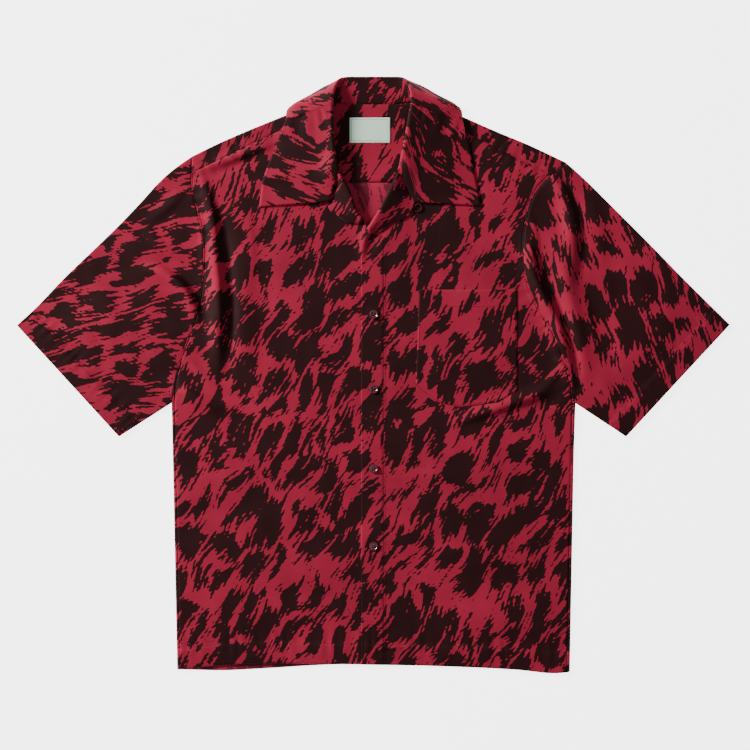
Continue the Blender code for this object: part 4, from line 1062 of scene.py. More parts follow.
def sleeve_ring(spot, lower, upper):
    """One closed section of a sleeve: lower layer, shoulder fold, upper layer, underarm."""
    ends = spot(np.array([0.0, 0.02, 0.98, 1.0]))
    inward = [ends[1] - ends[0], ends[2] - ends[3]]
    inward = [v / np.linalg.norm(v) for v in inward]
    heights = [float(loft(*(ends[i] + inward[k] * FOLD_IN))) for k, i in enumerate((0, 3))]
    radii = [(h - CLOTH) / 2.0 for h in heights]
    centres = [ends[i] + inward[k] * (CLOTH + radii[k]) for k, i in enumerate((0, 3))]
    plan = spot(lower)
    plan[0], plan[-1] = centres
    ring = [with_height(plan, np.full(len(plan), CLOTH))]
    round_off = centres[1] - inward[1] * (radii[1] * np.cos(FOLD_TURN))[:, None]
    ring.append(with_height(round_off, CLOTH + radii[1] + radii[1] * np.sin(FOLD_TURN)))
    plan = spot(upper)
    plan[0], plan[-1] = centres
    tops = loft(plan[:, 0], plan[:, 1])
    tops[0], tops[-1] = heights
    ring.append(with_height(plan, tops)[::-1])
    round_off = centres[0] - inward[0] * (radii[0] * np.cos(FOLD_TURN))[:, None]
    ring.append(with_height(round_off, CLOTH + radii[0] + radii[0] * np.sin(FOLD_TURN))[::-1])
    return np.concatenate(ring)


def sleeve(side):
    """A sleeve: a flat tube, open at the armhole and the cuff, laid on its underside."""
    arm_spots = smooth_curve(ARMHOLE[side])
    length_arm = whole_share(side)
    fold = smooth_curve(SLEEVE_FOLD[side])
    under = smooth_curve(UNDERARM[side])
    cuff = smooth_curve([UNDERARM[side][-1], SLEEVE_FOLD[side][-1]])
    under_length = np.linalg.norm(under(0.0) - under(1.0))
    fold_length = np.linalg.norm(fold(0.0) - fold(1.0))

    def armhole_at(share):
        """Armpit to shoulder point. The first part is the panels' own curve."""
        share = np.atleast_1d(share)
        arm = arm_spots(np.clip(share / length_arm, 0.0, 1.0))
        last = arm_spots(1.0)[0]
        rest = np.clip((share - length_arm) / (1.0 - length_arm), 0.0, 1.0)[:, None]
        straight = last + rest * (np.array(SHOULDER_POINT[side]) - last)
        return np.where(share[:, None] <= length_arm, arm, straight)

    lower = np.linspace(0.0, 1.0, LOWER_COLUMNS)
    upper = np.linspace(0.0, 1.0, UPPER_COLUMNS)
    points = []
    for u in steps(*SLEEVE_ROWS):
        corner = np.array([0.0, 1.0])
        arm_ends, cuff_ends = armhole_at(corner), cuff(corner)

        def spot(shares):
            """Plan points of this row, for shares from the underarm to the shoulder fold."""
            shares = np.atleast_1d(shares)
            s = shares[:, None]
            length = under_length + (fold_length - under_length) * s
            t = u + (1 - u) * SEAM / length
            ruled = (1 - t) * armhole_at(shares) + t * cuff(shares)
            sides = (1 - s) * under(t[:, 0]) + s * fold(t[:, 0])
            ends = (1 - s) * ((1 - t) * arm_ends[0] + t * cuff_ends[0])
            ends = ends + s * ((1 - t) * arm_ends[1] + t * cuff_ends[1])
            return ruled + sides - ends

        points.append(sleeve_ring(spot, lower, upper))
    points = np.array(points)
    # The cut: rows run up the sleeve's grain, columns round it.
    grain = np.array(SLEEVE_FOLD[side][-1]) - np.array(SLEEVE_FOLD[side][0])
    grain /= np.linalg.norm(grain)
    weft = np.array([-grain[1], grain[0]])
    closed = np.concatenate([points, points[:, :1]], axis=1)
    up_sleeve = -(closed[..., :2] @ grain)
    around = closed[..., :2] @ weft
    fold_at = LOWER_COLUMNS + FOLD_MIDDLE
    lower_half = np.arange(closed.shape[1]) < fold_at
    around = np.where(lower_half[None], 2 * around[:, fold_at, None] - around, around)
    cut = np.stack([around, up_sleeve], axis=2) + CUT_AT["sleeve_" + side]
    return cloth_shell("sleeve_" + side + "_cloth", points, cut, CLOTH, outward=FACING[side],
                       ring=True)


sleeves = {side: sleeve(side) for side in (RIGHT, LEFT)}

# %% [markdown]
# The collar is two layers of cloth with interlining between them: crisper and thicker
# than the body. At the back it turns under; at the sides it falls open on the fronts.
# It could be a flat band that a simulation folds, but the roll at the neck is what the
# eye knows a camp collar by, so it is lofted through sections: first those of the table,
# then rows of the leaf that lies on the front, down to the gorge and the point. Its cut
# is measured along the finished cloth, so the print isn't stretched by the roll.


# %% Collar sections between the table's
ROW_STEPS = 6          # sections for each row of the table
LEAF_STEPS = 48        # steps from the roll to the collar's edge
SIDE_ROWS = 54         # sections of the leaf that lies on a front
GORGE_SHARE = 3 / 8    # share of the leaf's lower side that is sewn to the lapel
MEET_ROWS = 18.0       # over so many rows the table's last height fades out
SEATED = 0.2           # between the stand's seam and the front
LEAF_BEND, LAPEL_BEND = 1.25, 1.2    # how soon a leaf falls from its roll


def mirrored(section):
    """The wearer's left section that matches one on the right."""
    values = section._asdict()
    for key in ("neck_x", "roll_x"):
        values[key] = -values[key] * MIRROR_NECK
    for key in ("bend_x", "under_x", "edge_x"):
        values[key] = -values[key] * MIRROR_EDGE
    return Section(**values)


def stand_points(neck, roll, turn):
    """The section's first points: seam, stand, and the crown of the roll."""
    down = (neck - roll) / np.linalg.norm(neck - roll)
    below = roll + down * ROLL_ROUND
    return refined([neck, (neck + below) / 2.0, below, roll, turn], 4)


def back_section(row):
    """A section that turns under: its leaf passes the bend and lies beneath the yoke."""
    neck, roll, bend, under, edge = (
        np.array([getattr(row, spot + "_" + axis) for axis in "xyz"])
        for spot in ("neck", "roll", "bend", "under", "edge")
    )
    out = (bend - roll)[:2]
    out = out / np.linalg.norm(out)
    turn = np.array([*(roll[:2] + out * ROLL_TURN), row.turn_z])
    leaf = [turn + (bend - turn) * share for share in (0.0, 0.25, 0.5, 0.75, 1.0)]
    leaf += [under] + [under + (edge - under) * share for share in (1 / 3, 2 / 3, 1.0)]
    return np.concatenate([stand_points(neck, roll, turn)[:-1], refined(leaf, LEAF_STEPS // 8)])


print("points across a collar section:", len(back_section(COLLAR_SECTIONS[0])))


# %% [markdown]
# On the real collar the leaf is sewn to the lapel at the gorge and hangs free past the
# notch, down to its point. A straight loft from the shoulder to the point would miss the
# notch. So the leaf's grid has the gorge and the free edge as one side, and each of its
# points takes the height of the front below it, where the leaf rests.


# %% Collar
def side_sections(side):
    """Sections of the leaf that lies on the shoulder and the front, down to the gorge."""
    out = np.array([FACING[side], 0.0])
    last = COLLAR_SECTIONS[-1] if side == RIGHT else mirrored(COLLAR_SECTIONS[-1])
    down = np.linspace(0.0, 1.0, SIDE_ROWS + 1)
    notch = np.array(COLLAR_NOTCH[side])
    roll = smooth_curve(COLLAR_ROLL[side])(down)
    turn = roll + out * ROLL_TURN
    edge = smooth_curve(COLLAR_EDGE[side])(down)
    leaf = np.linspace(0.0, 1.0, LEAF_STEPS + 1)
    first = turn[0] + leaf[:, None] * (edge[0] - turn[0])
    gorge = smooth_curve([turn[-1], np.array(GORGE_MIDDLE[side]), notch])
    lower_edge = smooth_curve([notch, edge[-1]])
    past_gorge = (leaf - GORGE_SHARE) / (1 - GORGE_SHARE)
    lower = np.where(leaf[:, None] <= GORGE_SHARE, gorge(leaf / GORGE_SHARE), lower_edge(past_gorge))
    plan = crossed(first, lower, turn, edge, leaf, down)
    crown = last.roll_z + (ROLL_CROWN - last.roll_z) * down**2
    sections = []
    table_leaf = back_section(last)[-len(leaf):, 2]
    for i in range(len(down)):
        seam = np.array([*(roll[i] + out * (STAND_LEAN - LEAN_LOSS * down[i] ** 2)), 0.0])
        seam[2] = float(front_loft(side, seam[0] + out[0], seam[1])) + SEATED
        top = np.array([*roll[i], crown[i]])
        turned = np.array([*turn[i], crown[i] + 1.0])
        rest = front_top(side, plan[i, :, 0], plan[i, :, 1]) + RESTING
        fall = (1.0 - leaf) ** LEAF_BEND
        height = np.maximum(rest + (turned[2] - rest[0]) * fall, rest)
        if i == 0:      # the table's own section: only the step up to it is kept
            step_up = table_leaf - height
            continue
        height = height + step_up * (1.0 - ramp(i, 0.0, MEET_ROWS))
        spots = with_height(plan[i], height)
        spots[0] = turned
        sections.append(np.concatenate([stand_points(seam, top, turned)[:-1], spots]))
    return sections


def collar():
    """One-piece camp collar, from the wearer's right gorge round the neck to the left."""
    table = np.array([list(row) for row in COLLAR_SECTIONS])
    fine = [Section(*row) for row in refined(table, ROW_STEPS)]
    sections = side_sections(RIGHT)[::-1]
    sections += [back_section(row) for row in fine[::-1]]
    sections += [back_section(mirrored(row)) for row in fine[1:]]
    sections += side_sections(LEFT)
    points = np.array(sections, float)
    fall = walked(points.transpose(1, 0, 2)).T
    round_neck = np.broadcast_to(walked(points)[:, points.shape[1] // 2, None], fall.shape)
    cut = np.stack([round_neck, fall], axis=2) + CUT_AT["collar"]
    return cloth_shell("collar_cloth", points, cut, COLLAR_CLOTH, outward=-1.0, both_right=True)


collar_cloth = collar()

# %% [markdown]
# A lapel is the corner of the front's facing, turned back below the collar. On the real
# shirt it is one cloth with the front; it could be modelled so, but its printed side and
# its own curve are easier to get right as a leaf of its own that starts at the roll. It
# falls from the roll's crown and comes to rest on the front.

# %% Lapels
LAPEL_ROWS, LAPEL_COLUMNS = 44, 28
LAPEL_START = 0.06     # share of the roll's length at which the lapel starts
LAPEL_DROP = 5.0       # how much lower the roll is at its low end
LAPEL_UNDER, LAPEL_OVER = (0.8, -2.6), (1.6, 0.8)    # out from the crown, and up


def lapel(side):
    """The front's turned-back facing, between its roll and its notched edge."""
    out = np.array([FACING[side], 0.0])
    down = np.linspace(LAPEL_START, 1.0, LAPEL_ROWS)
    across = np.linspace(0.0, 1.0, LAPEL_COLUMNS)
    roll = smooth_curve(LAPEL_ROLL[side])(down)
    edge = smooth_curve(LAPEL_EDGE[side])(down)
    crown = ROLL_CROWN - LAPEL_DROP * down
    rows = []
    for i in range(len(down)):
        top = np.array([*roll[i], crown[i]])
        low = np.array([*(roll[i] + out * LAPEL_UNDER[0]), crown[i] + LAPEL_UNDER[1]])
        low[2] = max(low[2], float(front_top(side, low[0], low[1])) + RESTING)
        turned = np.array([*(roll[i] + out * LAPEL_OVER[0]), crown[i] + LAPEL_OVER[1]])
        plan = turned[:2] + across[:, None] * (edge[i] - turned[:2])
        rest = front_top(side, plan[:, 0], plan[:, 1]) + RESTING
        fall = (1.0 - across) ** LAPEL_BEND
        height = np.maximum(rest + (turned[2] - rest[0]) * fall, rest)
        leaf = with_height(plan, height)
        rows.append(np.concatenate([refined([low, top, leaf[0]], 4)[:-1], leaf]))
    points = np.array(rows, float)
    cut = points[..., :2] + CUT_AT["lapel_" + side]
    return cloth_shell("lapel_" + side + "_cloth", points, cut, COLLAR_CLOTH, outward=-out[0],
                       both_right=True)


lapels = {side: lapel(side) for side in (RIGHT, LEFT)}

# %% [markdown]
# The pocket is a patch with a pointed bottom, and the stitches hold it down on the
# front. It could be a part of the front's own mesh, but a patch of its own has its own
# cut, so the print breaks at its edge. It takes the height of the front under it, creases
# and all, as a patch of thin cloth does.


# %% Pocket
ON_CLOTH = 0.05        # what a sewn-down patch keeps to the cloth under it


def straight_steps(spots, count):
    """Points on the straight lines between spots, count to a line, with their shares."""
    spots = np.asarray(spots, float)
    step = np.linalg.norm(np.diff(spots, axis=0), axis=1)
    place = np.concatenate([[0.0], np.cumsum(step)]) / step.sum()
    whole = np.arange(len(spots))
    fine = np.linspace(0, len(spots) - 1, (len(spots) - 1) * count + 1)
    points = np.stack([np.interp(fine, whole, spots[:, k]) for k in range(2)], axis=1)
    return np.interp(fine, whole, place), points


def chest_pocket():
    """A patch pocket on the wearer's left front."""
    across, bottom = straight_steps(POCKET_BOTTOM, 12)
    up = np.linspace(0.0, 1.0, 60)
    top_x = POCKET["left_top"] + across * (POCKET["right"] - POCKET["left_top"])
    top = np.stack([top_x, np.full(len(across), POCKET["top"])], 1)
    plan = bottom[None] + up[:, None, None] * (top - bottom)[None]
    height = front_top(LEFT, plan[..., 0], plan[..., 1]) + ON_CLOTH
    cut = plan + CUT_AT["pocket"]
    return cloth_shell("pocket_cloth", with_height(plan, height), cut, TRIM, outward=1.0,
                       both_right=True)


pocket = chest_pocket()

# %% [markdown]
# The label is a small patch of polyester satin, woven in two mint yarns with a plain
# border. To the eye it is paler and a little shinier than the shirt, with a fine figure
# that runs slantwise. The border is a darker yarn in the same weave. It could be modelled
# as a raised strip, but on the real one it lies level with the ground, so it is drawn
# from the patch's UV map, as a band at a fixed distance from the edge.

# %% Label
LABEL_MIDDLE = ((LABEL["left"] + LABEL["right"]) / 2000.0, (LABEL["low"] + LABEL["high"]) / 2000.0)
LABEL_HALF = ((LABEL["right"] - LABEL["left"]) / 2000.0, (LABEL["high"] - LABEL["low"]) / 2000.0)
BORDER_IN, BORDER_WIDE = 0.0026, 0.0007
FIGURE, WEFT = 0.0016, 0.0009    # the figure and the picks, drawn coarser so that they show


def woven_label():
    """Mint satin with a thin woven border."""
    material = bpy.data.materials.new("woven_satin_label")
    material.use_nodes = True
    tree = material.node_tree
    shader = tree.nodes["Principled BSDF"]
    cut = add(tree, "ShaderNodeUVMap", uv_map="cut").outputs["UV"]
    place = add(tree, "ShaderNodeVectorMath", {0: cut, 1: (*LABEL_MIDDLE, 0.0)},
                operation="SUBTRACT")
    place = add(tree, "ShaderNodeVectorMath", {0: place.outputs[0]}, operation="ABSOLUTE")
    inside = add(tree, "ShaderNodeVectorMath", {0: (*LABEL_HALF, 1.0), 1: place.outputs[0]},
                 operation="SUBTRACT")
    parts = add(tree, "ShaderNodeSeparateXYZ", {0: inside.outputs[0]})
    nearest = add(tree, "ShaderNodeMath", {0: parts.outputs[0], 1: parts.outputs[1]},
                  operation="MINIMUM")
    border = add(tree, "ShaderNodeMath", {0: nearest.outputs[0], 1: BORDER_IN,
                 2: BORDER_WIDE / 2}, operation="COMPARE")
    figure = add(tree, "ShaderNodeTexWave", {"Vector": cut, "Scale": WAVE_TURNS / FIGURE,
                 "Distortion": 1.5}, bands_direction="DIAGONAL")
    ground = add(tree, "ShaderNodeMix", {"Factor": figure.outputs["Fac"], 6: dye("#D6FFE4"),
                 7: dye("#ECFFEC")}, data_type="RGBA")
    colour = add(tree, "ShaderNodeMix", {"Factor": border.outputs[0], 6: ground.outputs[2],
                 7: dye("#9FCBB0")}, data_type="RGBA")
    weft = add(tree, "ShaderNodeTexWave", {"Vector": cut, "Scale": WAVE_TURNS / WEFT},
               bands_direction="Y")
    bump = add(tree, "ShaderNodeBump", {"Height": weft.outputs["Fac"], "Strength": 0.4,
               "Distance": 0.0002})
    tree.links.new(colour.outputs[2], shader.inputs["Base Color"])
    tree.links.new(bump.outputs[0], shader.inputs["Normal"])
    shader.inputs["Roughness"].default_value = 0.45
    shader.inputs["Sheen Weight"].default_value = 0.1
    return material


satin = woven_label()


def label_top(x, y):
    """Inner side of the label above the table."""
    return lift(x, y) + 2.0 * CLOTH + 1.5 * GAP


def neck_label():
    """The woven label, sewn on the inner yoke."""
    x = np.linspace(LABEL["left"], LABEL["right"], 40)
    y = np.linspace(LABEL["low"], LABEL["high"], 26)
    plan = np.stack(np.meshgrid(x, y), axis=-1)
    height = label_top(plan[..., 0], plan[..., 1])
    return cloth_shell("label_cloth", with_height(plan, height), plan, LABEL_CLOTH, outward=1.0,
                       right=satin, wrong=satin)


label = neck_label()

# %% [markdown]
# The buttons are cast from polyester resin and tumbled until they shine. To the eye they
# are dark, glassy and a little smoky, with a small sharp light on the rim. Their solids
# already have the dish, the rim and four holes, so they stay and only get a material. It
# could be see-through, but at 12 mm the smoke inside shows just as well as a cloud of
# two colours under a clear coat.

# %% Resin buttons
CLOUD = 0.004          # the smoke swirls over a third of a button


def cast_resin():
    """Polyester resin: cloudy in its depth and polished outside."""
    material = bpy.data.materials.new("polyester_resin")
    material.use_nodes = True
    tree = material.node_tree
    shader = tree.nodes["Principled BSDF"]
    place = add(tree, "ShaderNodeTexCoord").outputs["Object"]
    clouds = add(tree, "ShaderNodeTexNoise", {"Vector": place, "Scale": 1 / CLOUD,
                 "Detail": 2.0, "Distortion": 1.2})
    smoke = add(tree, "ShaderNodeMix", {"Factor": clouds.outputs[0], 6: dye("#33101A"),
                7: dye("#7E2C3C")}, data_type="RGBA")
    tree.links.new(smoke.outputs[2], shader.inputs["Base Color"])
    shader.inputs["Roughness"].default_value = 0.12
    shader.inputs["IOR"].default_value = 1.55
    shader.inputs["Coat Weight"].default_value = 0.6
    shader.inputs["Coat Roughness"].default_value = 0.05
    return material


resin = cast_resin()
for number in range(1, len(BUTTON_ROWS) + 1):
    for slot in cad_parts[f"button_{number}"].material_slots:
        slot.material = resin
print("buttons in resin:", len(BUTTON_ROWS))

# %% [markdown]
# Sewing thread is spun polyester, dull and twisted from plies, and the loop that takes
# the collar's button is a twisted cord of the same kind, only thicker. To the eye both
# are darker than the cloth, because light is lost between the plies; their colours are
# made darker to paint that shade in. The plies could be modelled, but at half a millimetre
# they are left to a slanting wave in the material, which bumps them and paints shade
# between them.

# %% Thread and cord
THREAD_PITCH, CORD_PITCH = 0.0005, 0.0012   # from one ply to the next


def spun_thread(name, colour, pitch):
    """Twisted yarn: its plies show as fine slanting ribs, with painted shade between them."""
    material = bpy.data.materials.new(name)
    material.use_nodes = True
    tree = material.node_tree
    shader = tree.nodes["Principled BSDF"]
    place = add(tree, "ShaderNodeTexCoord").outputs["Object"]
    plies = add(tree, "ShaderNodeTexWave", {"Vector": place, "Scale": WAVE_TURNS / pitch},
                bands_direction="DIAGONAL")
    # painted shade: the grooves between the plies are made darker
    shade = add(tree, "ShaderNodeMapRange", {"Value": plies.outputs["Fac"], "To Min": 0.75,
                "To Max": 1.1})
    tint = add(tree, "ShaderNodeHueSaturation", {"Color": colour, "Value": shade.outputs[0]})
    bump = add(tree, "ShaderNodeBump", {"Height": plies.outputs["Fac"], "Strength": 0.5,
               "Distance": 0.0001})
    tree.links.new(tint.outputs[0], shader.inputs["Base Color"])
    tree.links.new(bump.outputs[0], shader.inputs["Normal"])
    shader.inputs["Roughness"].default_value = 0.6
    shader.inputs["Specular IOR Level"].default_value = 0.2
    return material


thread = spun_thread("polyester_thread_crimson", dye("#3C0A15"), THREAD_PITCH)
mint_thread = spun_thread("polyester_thread_mint", dye("#C9E4CF"), THREAD_PITCH)
cord = spun_thread("twisted_cord", dye("#520F1C"), CORD_PITCH)
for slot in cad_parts["button_loop"].material_slots:
    slot.material = cord
print("threads:", thread.name, mint_thread.name, cord.name)

# %% [markdown]
# A lockstitch shows as a row of short threads, each of which rises from one needle hole
# and dives into the next. A dashed line in the material could stand for it, but from the
# side it would be flat. So stitches are real geometry, each a spindle of five rings. A
# row follows a line on the finished cloth, so it rides every crease, and the rows of one
# piece are joined in one mesh.

# %% Stitches
STITCH, STITCH_GAP, THREAD_RADIUS = 2.6, 0.9, 0.26
Ring = namedtuple("Ring", "share rise thick")   # along the stitch, up, and of the radius
SPINDLE = (Ring(0.0, -0.30, 0.3), Ring(0.2, 0.02, 0.85), Ring(0.5, 0.10, 1.0),
           Ring(0.8, 0.02, 0.85), Ring(1.0, -0.30, 0.3))
THREAD_SIDES = 5
LABEL_THREAD, BUTTON_THREAD, BUTTONHOLE_THREAD = 0.2, 0.32, 0.24    # other radii


def stitch_points(line):
    """Where each stitch of a row starts and ends along a line of points."""
    line = np.asarray(line, float)
    step = np.linalg.norm(np.diff(line, axis=0), axis=1)
    place = np.concatenate([[0.0], np.cumsum(step)])
    count = int(place[-1] // (STITCH + STITCH_GAP))
    starts = (np.arange(count) + 0.5) * place[-1] / count - STITCH / 2.0
    at = starts[:, None] + np.array([ring.share for ring in SPINDLE]) * STITCH
    return np.stack([np.interp(at, place, line[:, k]) for k in range(3)], axis=-1)


def spindles(name, spots, material, radius):
    """Thread spindles from count by 5 points, each a closed tube that thins at its ends."""
    along = np.gradient(spots, axis=1)
    along /= np.linalg.norm(along, axis=2)[..., None]
    side = np.cross(along, (0.0, 0.0, 1.0))
    side /= np.linalg.norm(side, axis=2)[..., None]
    up = np.cross(side, along)
    rise = np.array([ring.rise for ring in SPINDLE])
    thick = np.array([ring.thick for ring in SPINDLE]) * radius
    middle = spots + up * rise[None, :, None] * radius / THREAD_RADIUS
    angle = 2 * np.pi * np.arange(THREAD_SIDES) / THREAD_SIDES
    circle = side[:, :, None] * np.cos(angle)[:, None] + up[:, :, None] * np.sin(angle)[:, None]
    points = middle[:, :, None] + circle * thick[None, :, None, None]
    count, rings = points.shape[:2]
    k = np.arange(THREAD_SIDES)
    beside = (k + 1) % THREAD_SIDES
    wall = [np.stack([r * THREAD_SIDES + beside, r * THREAD_SIDES + k,
                      (r + 1) * THREAD_SIDES + k, (r + 1) * THREAD_SIDES + beside], axis=1)
            for r in range(rings - 1)]
    per = rings * THREAD_SIDES
    first = np.arange(count)[:, None] * per
    quads = (np.concatenate(wall)[None] + first[:, :, None]).reshape(-1, 4)
    ends = np.concatenate([first + k[None], first + per - THREAD_SIDES + k[None, ::-1]])
    mesh = bpy.data.meshes.new(name)
    mesh.from_pydata((points.reshape(-1, 3) * MM).tolist(), [], quads.tolist() + ends.tolist())
    mesh.materials.append(material)
    mesh.shade_smooth()
    thing = bpy.data.objects.new(name, mesh)
    bpy.context.scene.collection.objects.link(thing)
    print(f"{name}: {count} stitches, {count * (8 * THREAD_SIDES + 6)} triangles")
    return thing


def stitches(name, rows, material, radius=THREAD_RADIUS):
    """One mesh of stitches: rows are lines of points on the cloth's upper side."""
    return spindles(name, np.concatenate([stitch_points(row) for row in rows]), material, radius)


print("stitches to a centimetre: %.1f" % (10.0 / (STITCH + STITCH_GAP)))

# %% [markdown]
# The rows themselves: hems and cuffs 27 mm up, the placket beside the buttons, the
# pocket's edge and top hem, the forward yoke seams and the label. A row could be picked
# from the mesh's edges, but the edges don't run where the needle does. So each row is
# laid out flat first and then lifted onto the cloth.


# %% Rows of stitches
POCKET_HEM = 22.0
POCKET_IN, LABEL_IN, YOKE_IN = 2.0, 1.0, 2.0    # from the edge to the stitches
HEM_ROW_END = 257.0    # short of the side seams
PLACKET_ROW_TOP = 168.0
CUFF_ROW_ENDS = (7.0, 2.0)    # left free at the underarm and at the shoulder fold


def on_front(side, x, y):
    """Points on the upper side of a front."""
    x, y = np.broadcast_arrays(np.asarray(x, float), np.asarray(y, float))
    return np.stack([x, y, front_top(side, x, y)], axis=-1)


def on_upper(plan):
    """Points on the upper side of the yoke or a sleeve."""
    return with_height(plan, loft(plan[:, 0], plan[:, 1]) + CLOTH)


def cuff_row(side):
    """The cuff's stitches, from the underarm to the fold, parallel to its edge."""
    low, high = CUFF_ENDS[side]
    along = (high - low) / np.linalg.norm(high - low)
    inward = np.array([-along[1], along[0]]) * FACING[side]
    start = low + inward * HEM + along * CUFF_ROW_ENDS[0]
    end = high + inward * HEM - along * CUFF_ROW_ENDS[1]
    share = np.linspace(0.0, 1.0, 160)[:, None]
    return on_upper(start + share * (end - start))


def hem_row(side):
    """The hem's stitches, from the free edge to the side seam."""
    line = HEM_LINES[side]
    keep = np.abs(line[:, 0]) < HEM_ROW_END
    x = np.linspace(line[keep, 0].min() + 1.0, line[keep, 0].max(), 220)
    order = np.argsort(line[:, 0])
    return on_front(side, x, np.interp(x, line[order, 0], line[order, 1]) + HEM)


def pocket_rows():
    """The pocket's edge stitches and its top hem."""
    low = [(x, y + 2.2) for x, y in POCKET_BOTTOM]
    low[0] = (low[0][0] + POCKET_IN, low[0][1])
    low[-1] = (low[-1][0] - POCKET_IN, low[-1][1])
    top, left, right = POCKET["top"], POCKET["left_top"], POCKET["right"]
    edge = [(left + POCKET_IN, top - 1.0), *low, (right - POCKET_IN, top - 1.0)]
    hem = [(left + 2.5, top - POCKET_HEM), (right - 2.5, top - POCKET_HEM)]
    rows = []
    for line in (edge, hem):
        _, plan = straight_steps(line, 50)
        row = on_front(LEFT, plan[:, 0], plan[:, 1])
        row[:, 2] += ON_CLOTH + TRIM
        rows.append(row)
    return rows


def label_rows():
    """Round the label, a little inside its edge."""
    x0, x1 = LABEL["left"] + LABEL_IN, LABEL["right"] - LABEL_IN
    y0, y1 = LABEL["low"] + LABEL_IN, LABEL["high"] - LABEL_IN
    _, plan = straight_steps([(x0, y0), (x1, y0), (x1, y1), (x0, y1), (x0, y0)], 30)
    return [with_height(plan, label_top(plan[:, 0], plan[:, 1]) + LABEL_CLOTH)]


def placket_row():
    """Up the placket, from the hem to where the lapel starts to turn."""
    low = FRONT_HEM[LEFT][0][1] + 2.0
    return on_front(LEFT, STITCH_X, np.linspace(low, PLACKET_ROW_TOP, 500))


def yoke_row(side):
    """Along the forward yoke seam, on the yoke's side of it."""
    seam = smooth_curve(YOKE_SEAM[side])(np.linspace(0.01, 0.99, 160))
    return on_upper(seam + np.array([0.0, YOKE_IN]))


sewn = {
    "front_left": stitches("front_left_stitches", [hem_row(LEFT), placket_row()], thread),
    "front_right": stitches("front_right_stitches", [hem_row(RIGHT)], thread),
    "sleeve_left": stitches("sleeve_left_stitches", [cuff_row(LEFT)], thread),
    "sleeve_right": stitches("sleeve_right_stitches", [cuff_row(RIGHT)], thread),
    "pocket": stitches("pocket_stitches", pocket_rows(), thread),
    "yoke": stitches("yoke_stitches", [yoke_row(side) for side in FACING], thread),
    "label": stitches("label_stitches", label_rows(), mint_thread, radius=LABEL_THREAD),
}

# %% [markdown]
# Each button is sewn through its four holes with two bars of thread, and its buttonhole
# is worked below it: a slit in the placket between two rows of close stitches. The
# buttonhole could be left out, since the button hides most of it, but its ends show past
# the button. The same spindles make both. The bars take their places from the buttons'
# own boxes, so they stay in the dish if a button moves.

# %% Button threads and buttonholes
HOLE_OUT = 1.5         # from the button's middle to its holes
BAR_BELOW = 0.45       # the bars lie this far below the rim
BAR_HALF = 0.24        # two turns of thread side by side make a bar
BUTTONHOLE, WORKED_STEP = 15.0, 0.55
LIP_FROM, LIP_TO = 0.25, 1.5
RINGS = len(SPINDLE)


def button_bars():
    """Two bars of thread on each button."""
    spots = []
    for number in range(1, len(BUTTON_ROWS) + 1):
        low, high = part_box(f"button_{number}")
        middle = [(low[k] + high[k]) / 2.0 / MM for k in (0, 1)]
        top = high[2] / MM - BAR_BELOW
        for side in (-1.0, 1.0):
            for turn in (-BAR_HALF, BAR_HALF):
                y = np.linspace(-HOLE_OUT, HOLE_OUT, RINGS)
                spots.append(np.stack([np.full(RINGS, middle[0] + side * HOLE_OUT + turn),
                                       middle[1] + y, np.full(RINGS, top)], axis=1))
    return spindles("button_threads", np.array(spots), thread, BUTTON_THREAD)


def buttonhole_stitches():
    """Close stitches on both lips of each buttonhole, as they show past the button."""
    spots = []
    for y in BUTTON_ROWS:
        for x in np.arange(-BUTTONHOLE / 2, BUTTONHOLE / 2 + 0.1, WORKED_STEP):
            for lip in (-1.0, 1.0):
                across = y + lip * np.linspace(LIP_FROM, LIP_TO, RINGS)
                spots.append(on_front(LEFT, np.full(RINGS, BUTTON_X + x), across))
    return spindles("buttonhole_stitches", np.array(spots), thread, BUTTONHOLE_THREAD)


bars = button_bars()
buttonholes = buttonhole_stitches()

# %% [markdown]
# A shirt's pieces move as one, so each rides on the one body and stands for its solid.
# Each cloth piece also states the flat size and area that it was cut to, in metres, and
# what it rests on. The sizes could be taken from the mesh by the script, but then a wrong
# mesh would agree with itself. So they are written out, as measured on the finished cloth.

# %% What each piece is
Cut = namedtuple("Cut", "piece node width length area rests_on")
CUTS = [
    Cut(back, "back_panel", 0.536, 0.651, 0.322, ["floor"]),
    Cut(outer_yoke, "yoke", 0.497, 0.126, 0.046, ["floor"]),
    Cut(inner_yoke, "yoke_facing", 0.496, 0.108, 0.038, ["yoke_cloth"]),
    Cut(fronts[RIGHT], "front_right", 0.281, 0.740, 0.181, ["back_cloth"]),
    Cut(fronts[LEFT], "front_left", 0.284, 0.745, 0.180, ["back_cloth"]),
    Cut(sleeves[RIGHT], "sleeve_right", 0.439, 0.327, 0.097, ["floor"]),
    Cut(sleeves[LEFT], "sleeve_left", 0.435, 0.315, 0.107, ["floor"]),
    Cut(collar_cloth, "collar", 0.472, 0.144, 0.042, ["yoke_cloth"]),
    Cut(lapels[RIGHT], "lapel_right", 0.046, 0.065, 0.0018, ["front_right_cloth"]),
    Cut(lapels[LEFT], "lapel_left", 0.062, 0.079, 0.0025, ["front_left_cloth"]),
    Cut(pocket, "chest_pocket", 0.134, 0.156, 0.0195, ["front_left_cloth"]),
    Cut(label, "neck_label", 0.054, 0.033, None, ["yoke_facing_cloth"]),
]
for cut in CUTS:
    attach(cut.piece, "root")
    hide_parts(cut.node)
for piece in (*sewn.values(), bars, buttonholes):
    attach(piece, "root")
print("cloth pieces:", len(CUTS), "meshes of stitches:", len(sewn) + 2)

# %% [markdown]
# The shirt lies on a studio table that is lit from below, so the floor is plain and pale
# and takes next to no shadow. A white floor under strong lamps would do it too, but the
# lamps would wash the print out. So the floor glows a little itself.

# %% Floor
FLOOR_GLOW = 4.0
FLOOR_HALF = 14.0      # large enough to fill the view from low down, in metres


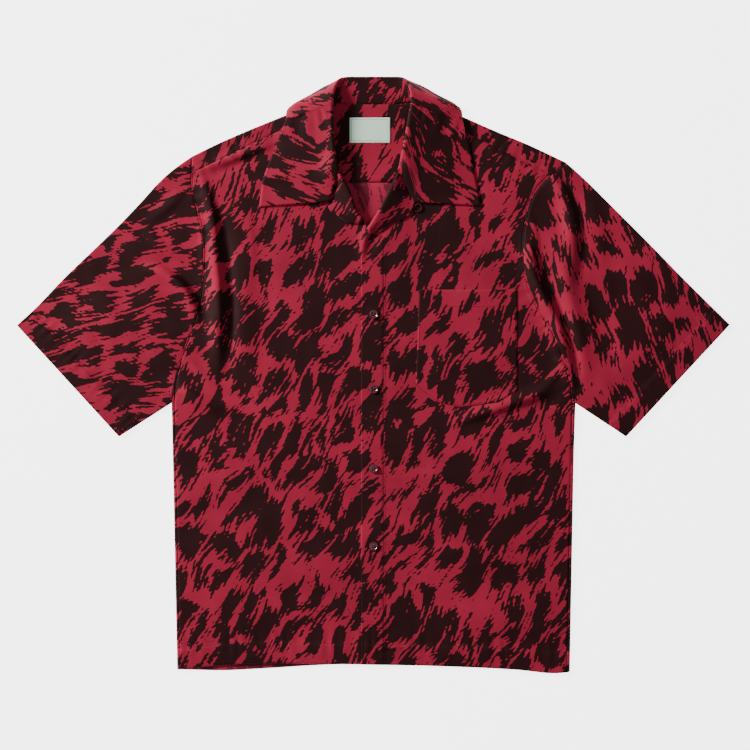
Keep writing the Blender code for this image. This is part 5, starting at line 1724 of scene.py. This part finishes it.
def pale_floor():
    """A large painted floor that glows a little."""
    mesh = bpy.data.meshes.new("floor")
    corners = [(x * FLOOR_HALF, y * FLOOR_HALF, 0) for x, y in ((-1, -1), (1, -1), (1, 1), (-1, 1))]
    mesh.from_pydata(corners, [], [(0, 1, 2, 3)])
    floor = bpy.data.objects.new("floor", mesh)
    bpy.context.scene.collection.objects.link(floor)
    material = bpy.data.materials.new("pale_paint")
    material.use_nodes = True
    shader = material.node_tree.nodes["Principled BSDF"]
    shader.inputs["Base Color"].default_value = dye("#F2F1EF")
    shader.inputs["Roughness"].default_value = 0.9
    shader.inputs["Emission Color"].default_value = dye("#FFFFFF")
    shader.inputs["Emission Strength"].default_value = FLOOR_GLOW
    mesh.materials.append(material)
    return floor


floor = pale_floor()
print("declared as sheets:", len(CUTS))

# %% [markdown]
# One soft lamp stands low at the upper left, where its light grazes the cloth and the
# creases cast their shades. A sun lamp would graze too, but with hard shadows. A broad
# lamp above and a grey sky fill the shadows in.


# %% Light
def soft_light(name, place, size, power):
    """A square area light that faces the shirt."""
    data = bpy.data.lights.new(name, "AREA")
    data.shape = "SQUARE"
    data.size = size
    data.energy = power
    lamp = bpy.data.objects.new(name, data)
    bpy.context.scene.collection.objects.link(lamp)
    lamp.location = place
    aim = -lamp.location
    lamp.rotation_euler = aim.to_track_quat("-Z", "Y").to_euler()
    return lamp


key = soft_light("key", (-3.6, 1.8, 1.65), size=0.9, power=360)
fill = soft_light("fill", (1.2, -0.6, 3.2), size=2.4, power=14)
world = bpy.data.worlds.new("studio")
world.use_nodes = True
world.node_tree.nodes["Background"].inputs["Color"].default_value = (1.0, 1.0, 1.0, 1.0)
world.node_tree.nodes["Background"].inputs["Strength"].default_value = 0.2
bpy.context.scene.world = world
print("lamps of %.0f and %.0f W" % (key.data.energy, fill.data.energy))

# %% [markdown]
# The camera looks straight down on the shirt, as the photograph does. An orthographic
# camera would also show it flat, but a real lens 3 m up keeps a hint of depth at the
# collar. The lens is worked out so that one pixel of 750 is 1.33 mm on the table.

# %% Camera
CAMERA_UP = 3.0
SENSOR = 36.0          # millimetres
PIXELS, PIXEL_WIDE = 750, 0.00133

camera_data = bpy.data.cameras.new("camera")
camera_data.sensor_width = SENSOR
camera_data.lens = SENSOR * CAMERA_UP / (PIXELS * PIXEL_WIDE)
camera = bpy.data.objects.new("camera", camera_data)
bpy.context.scene.collection.objects.link(camera)
camera.location = (0.0022, -0.0003, CAMERA_UP)
bpy.context.scene.camera = camera
print("camera lens %.1f mm" % camera_data.lens)
